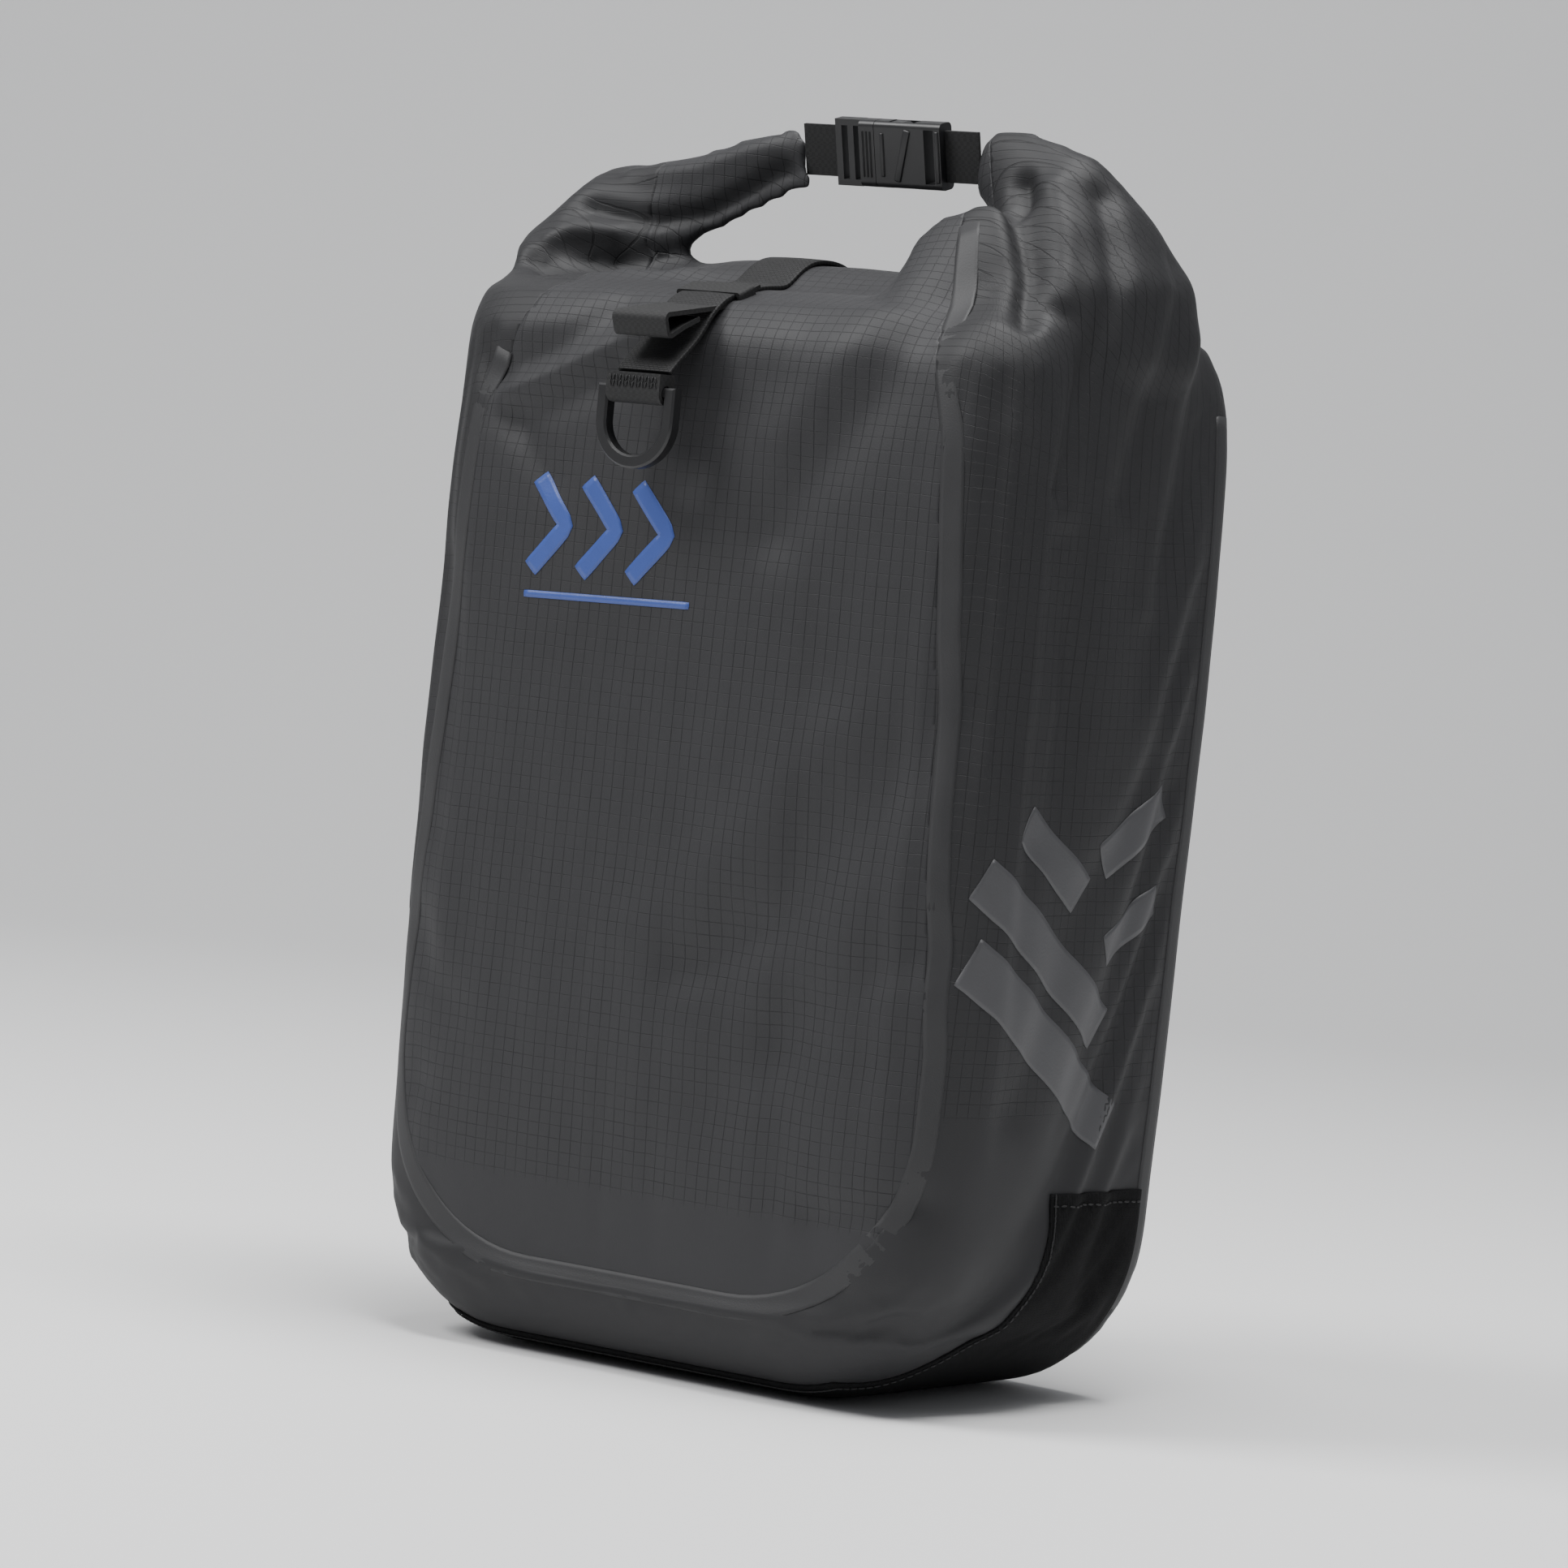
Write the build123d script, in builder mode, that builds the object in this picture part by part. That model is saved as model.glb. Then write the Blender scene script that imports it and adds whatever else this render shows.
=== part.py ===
"""Roll-top bicycle pannier bag, in millimetres.

+Z is up, +X runs along the bicycle and +Y points at the rack. The origin is the middle of the
flat base that the bag stands on. The bag hangs from two hooks that close over a rack tube, and a
swivelling anchor below keeps it from swinging. The mouth is rolled up, and a side-release buckle
joins the two ends of the roll into a carry loop.
"""

import os
from math import atan2, cos, degrees, radians, sin

from build123d import *

os.makedirs("parts", exist_ok=True)

# Bag body
BODY_WIDTH = 282.0
FRONT_Y = -92.0  # outer face of the front panel
BACK_Y = 80.0  # outer face of the back panel
RIM_Z = 386.0  # where the body ends and the collar starts
WALL = 2.0
BOTTOM_CORNER = 68.0
FRONT_EDGE = 36.0
BACK_EDGE = 6.0
SEAM_INSET = 26.0  # from the bag's outline to the front panel's seam
BACK_WRAP = 12.0  # how far the back panel wraps round onto the sides

# Wear patch under the base, on the outside of the body
PATCH_THICK = 1.2
PATCH_SIDE_TOP = 85.0
PATCH_SIDE_FRONT_Y = 4.0
PATCH_BASE_FRONT_Y = -56.0
PATCH_CURVE = 30.0

# Stiffener board inside the back panel
BOARD_WIDTH = 252.0
BOARD_LOW_Z = 44.0
BOARD_BELOW_RIM = 14.0
BOARD_THICK = 3.0
BOARD_CORNER = 30.0

# Collar and rolled mouth
GAP = 0.3  # between the bag body and the closure that lifts off it
COLLAR_RISE = 28.0  # from the rim up to the roll
MOUTH_WIDTH = 232.0
MOUTH_DEPTH = 40.0
COLLAR_SPLIT_X = 100.0
ROLL_DEPTH = 40.0
ROLL_THICK = 10.0
ROLL_CENTRE_HALF = 30.0
MOUTH_STRIP = (48.0, 22.0, 1.5)
STRIP_CLEARANCE = 0.2

# Side-release buckle and the webbing at the ends of the roll
WEB_WIDTH = 20.0
WEB_THICK = 1.6
BUCKLE_X = 14.0  # the female half's mouth
BUCKLE_RISE = 59.0  # from the top of the collar to the middle of the buckle
BUCKLE_TILT = 15.0
BUCKLE_WIDTH = 26.0
BUCKLE_THICK = 8.5
BUCKLE_WALL = 1.4
FEMALE_LENGTH = 23.0
WEB_BAR = 3.0
WEB_SLOT = 4.5
BASE_LENGTH = 7.0
LADDER_LENGTH = 12.0
PRONG_LENGTH = 18.5
PRONG_WIDTH = 4.2
TONGUE_WIDTH = 5.0
WINDOW_START = 6.5
WINDOW_LENGTH = 12.0
BUCKLE_CLEARANCE = 0.25

# Strap over the roll, with its pull loop and D-ring
STRAP_X = -17.0
STRAP_WIDTH = 25.0
STRAP_THICK = 1.8
RING_BELOW_RIM = 14.0
TAB_RISE = 7.0
RING_BAR_RADIUS = 2.2
RING_WIDTH = 36.0
RING_DROP = 29.0
RING_THICK = 5.0
RING_SIDE = 5.0
RING_CLEARANCE = 0.6

# Rails on the back
RAIL_DEPTH = 12.0
RAIL_HEIGHT = 32.0
RAIL_FLOOR = 2.5
RAIL_LIP = 2.0
RAIL_WALL = 3.0
RAIL_SLOT = 16.0
RAIL_CAP = 2.5
FOOT_CLEARANCE = 0.4
TOP_RAIL_Z = 316.0
TOP_RAIL_LENGTH = 236.0
LOW_RAIL_Z = 122.0
LOW_RAIL_LENGTH = 152.0
TOP_SCREWS_X = (-104.0, -26.0, 26.0, 104.0)
LOW_SCREWS_X = (-64.0, 64.0)
SCREW_RADIUS = 2.5
SCREW_HOLE = 2.7
SCREW_HEAD_RADIUS = 4.5
SCREW_HEAD_THICK = 2.2
WASHER_RADIUS = 8.0
WASHER_THICK = 1.0
NUT_RADIUS = 4.6
NUT_THICK = 3.5

# Hooks over the rack tube
HOOK_X = 75.0
HOOK_WIDTH = 26.0
HOOK_PLATE = 4.5
TUBE_RADIUS = 8.0  # the thickest rack tube that the bare hook takes
INSERT_RADIUS = 5.5  # the tube that the hook takes with its insert in
INSERT_LEG = 3.0
HOOK_WALL = 4.5
TUBE_Z = 350.0
NOSE_DROP = 11.0
PIVOT_Z = 370.0
PIVOT_OUT = 8.0  # from the rail's face to the latch pin
PIVOT_BOSS = 6.5
PIN_RADIUS = 2.0
PIN_CLEARANCE = 0.08
LATCH_WIDTH = 12.0
LATCH_CLEARANCE = 0.4
LATCH_ARM = 4.2
CLAW_REACH = 12.0
CLAW_THICK = 4.5
CLAW_GAP = 0.8
PULL_ARM = 14.0  # from the latch pin to the pull bar
PULL_BAR_RADIUS = 2.0
PULL_BAR_LENGTH = 21.0
PULL_HOLE = 3.1
SPRING_RADIUS = 3.3
SPRING_WIRE = 0.55
SPRING_TURNS = 3.5
SPRING_ROOM = 5.0

# Carry handle
HANDLE_WIDTH = 18.0
HANDLE_THICK = 2.4
HANDLE_TOP_Z = 400.0
CLIP_DEPTH = 7.0
CLIP_LEG = 3.0

# Lower anchor
CARRIAGE_WIDTH = 24.0
SEAT_RADIUS = 12.0
SEAT_THICK = 2.0
HUB_RADIUS = 10.0
HUB_LENGTH = 13.0
FIN_THICK = 4.5
FIN_LENGTH = 46.0
FIN_WIDTH = 22.0
ANCHOR_HEAD_RADIUS = 5.0
ANCHOR_HEAD_THICK = 3.0

# Worked out from the values above
COLLAR_Z = RIM_Z + COLLAR_RISE
BOARD_HIGH_Z = RIM_Z - BOARD_BELOW_RIM
BUCKLE_Z = COLLAR_Z + BUCKLE_RISE
RING_BAR_Z = RIM_Z - RING_BELOW_RIM
BASE_Z = PATCH_THICK
DEPTH = BACK_Y - FRONT_Y
INNER_BACK = BACK_Y - WALL
BOARD_INNER = INNER_BACK - BOARD_THICK
RAIL_FACE = BACK_Y + RAIL_DEPTH
CHANNEL_FLOOR = BACK_Y + RAIL_FLOOR
LIP_INNER = RAIL_FACE - RAIL_LIP
CHANNEL_HEIGHT = RAIL_HEIGHT - 2 * RAIL_WALL
TUBE_Y = RAIL_FACE + HOOK_PLATE + TUBE_RADIUS
HOOK_OUTER = TUBE_RADIUS + HOOK_WALL
PIVOT_Y = RAIL_FACE + PIVOT_OUT
PULL_Y = PIVOT_Y - PULL_ARM
SIDES = (("left", -1), ("right", 1))
ROLL_Z = COLLAR_Z + GAP
ROLL_TOP = ROLL_Z + ROLL_THICK
SEAM_TOP = RIM_Z + 1


def save(part, label):
    """Names a finished piece and writes its STEP file."""
    part.label = label
    export_step(part, f"parts/{label}.step")
    print(label, round(part.volume), "mm3")


def outline(inset, low, high):
    """The bag seen from the front, drawn in from its edges by inset."""
    half = BODY_WIDTH / 2 - inset
    corner = BOTTOM_CORNER - inset
    with BuildSketch() as face:
        with BuildLine():
            FilletPolyline(
                (-half, high), (-half, low + inset), (half, low + inset), (half, high), radius=corner
            )
            Line((half, high), (-half, high))
        make_face()
    return face.sketch


def bag_solid(grow=0.0):
    """The body's outer shape, filled in, grown by grow all round."""
    with BuildPart() as solid:
        with BuildSketch(Plane.XZ.offset(-BACK_Y - grow)):
            add(outline(-grow, BASE_Z, RIM_Z))
        extrude(amount=DEPTH + 2 * grow)
        front = solid.faces().sort_by(Axis.Y)[0]
        fillet(front.edges().sort_by(Axis.Z)[:-1], FRONT_EDGE + grow)
        back = solid.faces().sort_by(Axis.Y)[-1]
        fillet(back.edges().sort_by(Axis.Z)[:-1], BACK_EDGE + grow)
    return solid.part


# ---- Bag body: three welded panels ----
with BuildPart() as body_shell:
    add(bag_solid())
    offset(amount=-WALL, openings=body_shell.faces().sort_by(Axis.Z)[-1])

with BuildPart() as front_panel:
    add(body_shell.part)
    with BuildSketch(Plane.XZ.offset(-FRONT_Y - FRONT_EDGE / 2)):
        add(outline(SEAM_INSET, BASE_Z, SEAM_TOP))
    extrude(amount=FRONT_EDGE, mode=Mode.INTERSECT)
save(front_panel.part, "front_panel")

with BuildPart() as back_panel:
    add(body_shell.part)
    with Locations((0, BACK_Y - BACK_WRAP, RIM_Z / 2)):
        Box(
            2 * BODY_WIDTH,
            2 * BACK_WRAP,
            2 * RIM_Z,
            align=(Align.CENTER, Align.MIN, Align.CENTER),
            mode=Mode.INTERSECT,
        )
    for rail_z, screws in ((TOP_RAIL_Z, TOP_SCREWS_X), (LOW_RAIL_Z, LOW_SCREWS_X)):
        for x in screws:
            with Locations(Plane((x, BACK_Y, rail_z), z_dir=(0, 1, 0))):
                Hole(SCREW_HOLE, depth=2 * WALL)
save(back_panel.part, "back_panel")

with BuildPart() as gusset:
    add(body_shell.part)
    with BuildSketch(Plane.XZ.offset(-FRONT_Y - FRONT_EDGE / 2)):
        add(outline(SEAM_INSET, BASE_Z, SEAM_TOP))
    extrude(amount=FRONT_EDGE, mode=Mode.SUBTRACT)
    with Locations((0, BACK_Y - BACK_WRAP, RIM_Z / 2)):
        Box(
            2 * BODY_WIDTH,
            2 * BACK_WRAP,
            2 * RIM_Z,
            align=(Align.CENTER, Align.MIN, Align.CENTER),
            mode=Mode.SUBTRACT,
        )
save(gusset.part, "gusset")

with BuildPart() as wear_patch:
    add(bag_solid(PATCH_THICK))
    add(bag_solid(), mode=Mode.SUBTRACT)
    with BuildSketch(Plane.YZ.offset(-BODY_WIDTH)):
        with BuildLine():
            FilletPolyline(
                (PATCH_BASE_FRONT_Y, -1),
                (PATCH_BASE_FRONT_Y, BASE_Z + 1),
                (PATCH_SIDE_FRONT_Y, PATCH_SIDE_TOP / 2),
                (PATCH_SIDE_FRONT_Y, PATCH_SIDE_TOP),
                radius=(0.5, PATCH_CURVE),
            )
            Polyline(
                (PATCH_SIDE_FRONT_Y, PATCH_SIDE_TOP),
                (BACK_Y - BACK_EDGE, PATCH_SIDE_TOP),
                (BACK_Y - BACK_EDGE, -1),
                (PATCH_BASE_FRONT_Y, -1),
            )
        make_face()
    extrude(amount=2 * BODY_WIDTH, mode=Mode.INTERSECT)
save(wear_patch.part, "wear_patch")

with BuildPart() as stiffener_board:
    with BuildSketch(Plane.XZ.offset(-INNER_BACK)):
        with Locations((0, (BOARD_LOW_Z + BOARD_HIGH_Z) / 2)):
            RectangleRounded(BOARD_WIDTH, BOARD_HIGH_Z - BOARD_LOW_Z, BOARD_CORNER)
        for rail_z, screws in ((TOP_RAIL_Z, TOP_SCREWS_X), (LOW_RAIL_Z, LOW_SCREWS_X)):
            with Locations(*[(x, rail_z) for x in screws]):
                Circle(SCREW_HOLE, mode=Mode.SUBTRACT)
    extrude(amount=BOARD_THICK)
save(stiffener_board.part, "stiffener_board")


# ---- Rails, with their caps, screws, washers and nuts ----
def rail(length, z, screws):
    """A C-section rail screwed to the back panel, open towards the rack."""
    with BuildPart() as piece:
        with Locations((0, BACK_Y + RAIL_DEPTH / 2, z)):
            Box(length, RAIL_DEPTH, RAIL_HEIGHT)
        with Locations((0, CHANNEL_FLOOR, z)):
            Box(
                length,
                LIP_INNER - CHANNEL_FLOOR,
                CHANNEL_HEIGHT,
                align=(Align.CENTER, Align.MIN, Align.CENTER),
                mode=Mode.SUBTRACT,
            )
            Box(
                length,
                RAIL_DEPTH,
                RAIL_SLOT,
                align=(Align.CENTER, Align.MIN, Align.CENTER),
                mode=Mode.SUBTRACT,
            )
        edges = piece.edges().filter_by(Axis.X)
        fillet(edges.group_by(Axis.Z)[0] + edges.group_by(Axis.Z)[-1], 1.2)
        for x in screws:
            with Locations(Plane((x, CHANNEL_FLOOR, z), z_dir=(0, 1, 0))):
                Hole(SCREW_HOLE, depth=RAIL_FLOOR)
    return piece.part


save(rail(TOP_RAIL_LENGTH, TOP_RAIL_Z, TOP_SCREWS_X), "top_rail")
save(rail(LOW_RAIL_LENGTH, LOW_RAIL_Z, LOW_SCREWS_X), "low_rail")

with BuildPart() as rail_end_caps:
    for length, z in ((TOP_RAIL_LENGTH, TOP_RAIL_Z), (LOW_RAIL_LENGTH, LOW_RAIL_Z)):
        for side in (-1, 1):
            with Locations((side * (length + RAIL_CAP) / 2, BACK_Y + RAIL_DEPTH / 2, z)):
                Box(RAIL_CAP, RAIL_DEPTH, RAIL_HEIGHT)
    fillet(rail_end_caps.edges().filter_by(Axis.X), 1.2)
save(rail_end_caps.part, "rail_end_caps")


def rail_fasteners(z, screws):
    """One rail's screws, and the washers and nuts on the inside of the board."""
    with BuildPart() as screw_set:
        for x in screws:
            with BuildSketch(Plane((x, CHANNEL_FLOOR, z), z_dir=(0, -1, 0))):
                Circle(SCREW_RADIUS)
            extrude(amount=CHANNEL_FLOOR - BOARD_INNER + WASHER_THICK + NUT_THICK + 1)
            with BuildSketch(Plane((x, CHANNEL_FLOOR, z), z_dir=(0, 1, 0))):
                Circle(SCREW_HEAD_RADIUS)
            extrude(amount=SCREW_HEAD_THICK)
            with BuildSketch(Plane((x, CHANNEL_FLOOR + SCREW_HEAD_THICK, z), z_dir=(0, -1, 0))):
                RegularPolygon(SCREW_RADIUS * 0.7, 6)
            extrude(amount=SCREW_HEAD_THICK * 0.7, mode=Mode.SUBTRACT)
    with BuildPart() as nut_set:
        for x in screws:
            with BuildSketch(Plane((x, BOARD_INNER, z), z_dir=(0, -1, 0))):
                Circle(WASHER_RADIUS)
                Circle(SCREW_RADIUS, mode=Mode.SUBTRACT)
            extrude(amount=WASHER_THICK)
            with BuildSketch(Plane((x, BOARD_INNER - WASHER_THICK, z), z_dir=(0, -1, 0))):
                RegularPolygon(NUT_RADIUS, 6)
                Circle(SCREW_RADIUS, mode=Mode.SUBTRACT)
            extrude(amount=NUT_THICK)
    return screw_set.part, nut_set.part


for rail_name, rail_z, screws in (
    ("top_rail", TOP_RAIL_Z, TOP_SCREWS_X),
    ("low_rail", LOW_RAIL_Z, LOW_SCREWS_X),
):
    screw_part, nut_part = rail_fasteners(rail_z, screws)
    save(screw_part, f"{rail_name}_screws")
    save(nut_part, f"{rail_name}_nuts")


def foot(width, z, lip_gap):
    """The T-shaped foot that holds in a rail, with lip_gap left between it and the rail's lips."""
    with Locations((0, CHANNEL_FLOOR + FOOT_CLEARANCE, z)):
        Box(
            width,
            LIP_INNER - CHANNEL_FLOOR - FOOT_CLEARANCE - lip_gap,
            CHANNEL_HEIGHT - 2 * FOOT_CLEARANCE,
            align=(Align.CENTER, Align.MIN, Align.CENTER),
        )
        Box(
            width,
            RAIL_FACE + 1 - CHANNEL_FLOOR - FOOT_CLEARANCE,
            RAIL_SLOT - 2 * FOOT_CLEARANCE,
            align=(Align.CENTER, Align.MIN, Align.CENTER),
        )


# ---- Hooks, with their inserts, latches, pins, springs and clamp screws ----
HOOK_LOW_Z = TOP_RAIL_Z - RAIL_HEIGHT / 2 + 2
with BuildPart() as hook:
    with BuildSketch(Plane.YZ.offset(-HOOK_WIDTH / 2)):
        with Locations((TUBE_Y, TUBE_Z)):
            Circle(HOOK_OUTER)
        with BuildLine():
            Polyline(
                (RAIL_FACE, HOOK_LOW_Z),
                (RAIL_FACE + HOOK_PLATE, HOOK_LOW_Z),
                (RAIL_FACE + HOOK_PLATE, TUBE_Z),
                (TUBE_Y, TUBE_Z),
                (TUBE_Y, TUBE_Z + HOOK_OUTER),
                (PIVOT_Y + PIVOT_BOSS, PIVOT_Z),
                (RAIL_FACE, PIVOT_Z),
                close=True,
            )
        make_face()
        with Locations((PIVOT_Y, PIVOT_Z)):
            Circle(PIVOT_BOSS)
        with Locations((TUBE_Y + TUBE_RADIUS + HOOK_WALL / 2, TUBE_Z - NOSE_DROP / 2)):
            Rectangle(HOOK_WALL, NOSE_DROP)
        with Locations((TUBE_Y + TUBE_RADIUS + HOOK_WALL / 2, TUBE_Z - NOSE_DROP)):
            Circle(HOOK_WALL / 2)
        with Locations((TUBE_Y, TUBE_Z)):
            Circle(TUBE_RADIUS, mode=Mode.SUBTRACT)
        with Locations((TUBE_Y, TUBE_Z - HOOK_OUTER)):
            Rectangle(2 * TUBE_RADIUS, 2 * HOOK_OUTER, mode=Mode.SUBTRACT)
    extrude(amount=HOOK_WIDTH)
    foot(HOOK_WIDTH, TOP_RAIL_Z, 0)
    # the slot that the latch swings in, behind the tube and above the arch
    with BuildSketch(Plane.YZ.offset(-LATCH_WIDTH / 2 - LATCH_CLEARANCE)):
        with BuildLine():
            Polyline(
                (RAIL_FACE - 1, TUBE_Z - HOOK_OUTER - CLAW_THICK),
                (RAIL_FACE + HOOK_PLATE + 0.6, TUBE_Z - HOOK_OUTER - CLAW_THICK),
                (RAIL_FACE + HOOK_PLATE + 0.6, TUBE_Z + HOOK_OUTER - 5),
                (TUBE_Y, TUBE_Z + HOOK_OUTER + 0.6),
                (PIVOT_Y + 2 * PIVOT_BOSS, TUBE_Z + HOOK_OUTER + 0.6),
                (PIVOT_Y + 2 * PIVOT_BOSS, PIVOT_Z + 2 * PIVOT_BOSS),
                (RAIL_FACE - 1, PIVOT_Z + 2 * PIVOT_BOSS),
                close=True,
            )
        make_face()
    extrude(amount=LATCH_WIDTH + 2 * LATCH_CLEARANCE, mode=Mode.SUBTRACT)
    with BuildSketch(Plane.YZ.offset(-HOOK_WIDTH)):
        with Locations((PIVOT_Y, PIVOT_Z)):
            Circle(PIN_RADIUS)
    extrude(amount=2 * HOOK_WIDTH, mode=Mode.SUBTRACT)
    with Locations(Plane((0, RAIL_FACE + HOOK_PLATE, TOP_RAIL_Z), z_dir=(0, 1, 0))):
        CounterBoreHole(SCREW_HOLE, SCREW_HEAD_RADIUS + 0.4, SCREW_HEAD_THICK + 0.3, depth=40)

with BuildPart() as hook_screw:
    with BuildSketch(Plane((0, CHANNEL_FLOOR, TOP_RAIL_Z), z_dir=(0, 1, 0))):
        Circle(SCREW_RADIUS)
    extrude(amount=RAIL_FACE + HOOK_PLATE - CHANNEL_FLOOR - 0.3)
    with BuildSketch(Plane((0, RAIL_FACE + HOOK_PLATE - 0.3, TOP_RAIL_Z), z_dir=(0, -1, 0))):
        Circle(SCREW_HEAD_RADIUS)
    extrude(amount=SCREW_HEAD_THICK)
    with BuildSketch(Plane((0, RAIL_FACE + HOOK_PLATE - 0.3, TOP_RAIL_Z), z_dir=(0, -1, 0))):
        RegularPolygon(SCREW_RADIUS * 0.7, 6)
    extrude(amount=SCREW_HEAD_THICK * 0.7, mode=Mode.SUBTRACT)

with BuildPart() as tube_insert:
    with BuildSketch(Plane.YZ.offset(-HOOK_WIDTH / 2)):
        with Locations((TUBE_Y, TUBE_Z)):
            Circle(TUBE_RADIUS)
            Circle(INSERT_RADIUS, mode=Mode.SUBTRACT)
        with Locations((TUBE_Y, TUBE_Z - TUBE_RADIUS)):
            Rectangle(2 * INSERT_RADIUS, 2 * TUBE_RADIUS, mode=Mode.SUBTRACT)
        with Locations((TUBE_Y, TUBE_Z - TUBE_RADIUS - INSERT_LEG)):
            Rectangle(3 * TUBE_RADIUS, 2 * TUBE_RADIUS, mode=Mode.SUBTRACT)
    extrude(amount=HOOK_WIDTH)

CLAW_TOP = TUBE_Z - TUBE_RADIUS - CLAW_GAP
with BuildPart() as latch:
    with BuildSketch(Plane.YZ.offset(-LATCH_WIDTH / 2)):
        with BuildLine():
            Polyline(
                (RAIL_FACE + 0.1, PIVOT_Z),
                (RAIL_FACE + 0.1, CLAW_TOP - CLAW_THICK),
                (RAIL_FACE + CLAW_REACH - CLAW_THICK / 2, CLAW_TOP - CLAW_THICK),
                (RAIL_FACE + CLAW_REACH, CLAW_TOP),
                (RAIL_FACE + LATCH_ARM, CLAW_TOP),
                (RAIL_FACE + LATCH_ARM, TUBE_Z + HOOK_OUTER - 6),
                (PIVOT_Y, PIVOT_Z - 4.5),
                (PIVOT_Y, PIVOT_Z),
                close=True,
            )
        make_face()
        with Locations((PIVOT_Y, PIVOT_Z)):
            Circle(4.5)
        with Locations((PIVOT_Y - PULL_ARM / 2, PIVOT_Z)):
            Rectangle(PULL_ARM, 5.0)
        with Locations((PULL_Y, PIVOT_Z)):
            Circle(3.2)
    extrude(amount=LATCH_WIDTH)
    with BuildSketch(Plane.YZ.offset(-LATCH_WIDTH / 2 - 1)):
        with Locations((PIVOT_Y, PIVOT_Z)):
            Circle(SPRING_RADIUS + SPRING_WIRE + 0.8)
    extrude(amount=SPRING_ROOM + 1, mode=Mode.SUBTRACT)
    with BuildSketch(Plane.YZ.offset(-LATCH_WIDTH)):
        with Locations((PIVOT_Y, PIVOT_Z)):
            Circle(PIN_RADIUS + PIN_CLEARANCE)
    extrude(amount=2 * LATCH_WIDTH, mode=Mode.SUBTRACT)
    with BuildSketch(Plane.YZ.offset(-PULL_BAR_LENGTH / 2)):
        with Locations((PULL_Y, PIVOT_Z)):
            Circle(PULL_BAR_RADIUS)
    extrude(amount=PULL_BAR_LENGTH)

with BuildPart() as latch_pin:
    with BuildSketch(Plane.YZ.offset(-HOOK_WIDTH / 2)):
        with Locations((PIVOT_Y, PIVOT_Z)):
            Circle(PIN_RADIUS)
    extrude(amount=HOOK_WIDTH)

with BuildPart() as latch_spring:
    pitch = (SPRING_ROOM - 3 * SPRING_WIRE) / SPRING_TURNS
    with BuildLine():
        coil = Helix(pitch=pitch, height=pitch * SPRING_TURNS, radius=SPRING_RADIUS)
    with BuildSketch(Plane(origin=coil @ 0, z_dir=coil % 0)):
        Circle(SPRING_WIRE)
    sweep(path=coil, is_frenet=True)
spring_place = Pos(-LATCH_WIDTH / 2 + 1.4 * SPRING_WIRE, PIVOT_Y, PIVOT_Z) * Rot(0, 90, 0)

with BuildPart() as handle_clip:
    with Locations((0, PULL_Y, PIVOT_Z + 11.5)):
        Box(HANDLE_WIDTH + 3, CLIP_DEPTH, 10)
    fillet(handle_clip.edges().filter_by(Axis.Y), 1.5)
    for side in (-1, 1):
        with Locations((side * (LATCH_WIDTH / 2 + LATCH_CLEARANCE + CLIP_LEG / 2), PULL_Y, PIVOT_Z + 1)):
            Box(CLIP_LEG, CLIP_DEPTH, 14)
    with BuildSketch(Plane.YZ.offset(-HOOK_WIDTH)):
        with Locations((PULL_Y, PIVOT_Z)):
            Circle(PULL_HOLE)
    extrude(amount=2 * HOOK_WIDTH, mode=Mode.SUBTRACT)

for name, side in SIDES:
    place = Pos(side * HOOK_X, 0, 0)
    save(place * hook.part, f"hook_{name}")
    save(place * hook_screw.part, f"hook_screw_{name}")
    save(place * tube_insert.part, f"tube_insert_{name}")
    save(place * latch.part, f"latch_{name}")
    save(place * latch_pin.part, f"latch_pin_{name}")
    save(place * spring_place * latch_spring.part, f"latch_spring_{name}")
    save(place * handle_clip.part, f"handle_clip_{name}")

with BuildPart() as handle_webbing:
    with BuildSketch(Plane.XZ.offset(-PULL_Y - HANDLE_THICK / 2)):
        with BuildLine() as route:
            FilletPolyline(
                (-HOOK_X, PIVOT_Z + 16.5),
                (-HOOK_X, HANDLE_TOP_Z),
                (HOOK_X, HANDLE_TOP_Z),
                (HOOK_X, PIVOT_Z + 16.5),
                radius=12,
            )
        trace(route.edges(), HANDLE_WIDTH)
    extrude(amount=HANDLE_THICK)
save(handle_webbing.part, "handle_webbing")

# ---- Lower anchor: a carriage in the rail, and a fin that swivels on it ----
SEAT_Y = RAIL_FACE + FOOT_CLEARANCE
with BuildPart() as anchor_carriage:
    foot(CARRIAGE_WIDTH, LOW_RAIL_Z, FOOT_CLEARANCE)
    with BuildSketch(Plane((0, SEAT_Y, LOW_RAIL_Z), z_dir=(0, 1, 0))):
        Circle(SEAT_RADIUS)
    extrude(amount=SEAT_THICK)
    with Locations(Plane((0, SEAT_Y + SEAT_THICK, LOW_RAIL_Z), z_dir=(0, 1, 0))):
        Hole(SCREW_RADIUS, depth=40)
save(anchor_carriage.part, "anchor_carriage")

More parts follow.
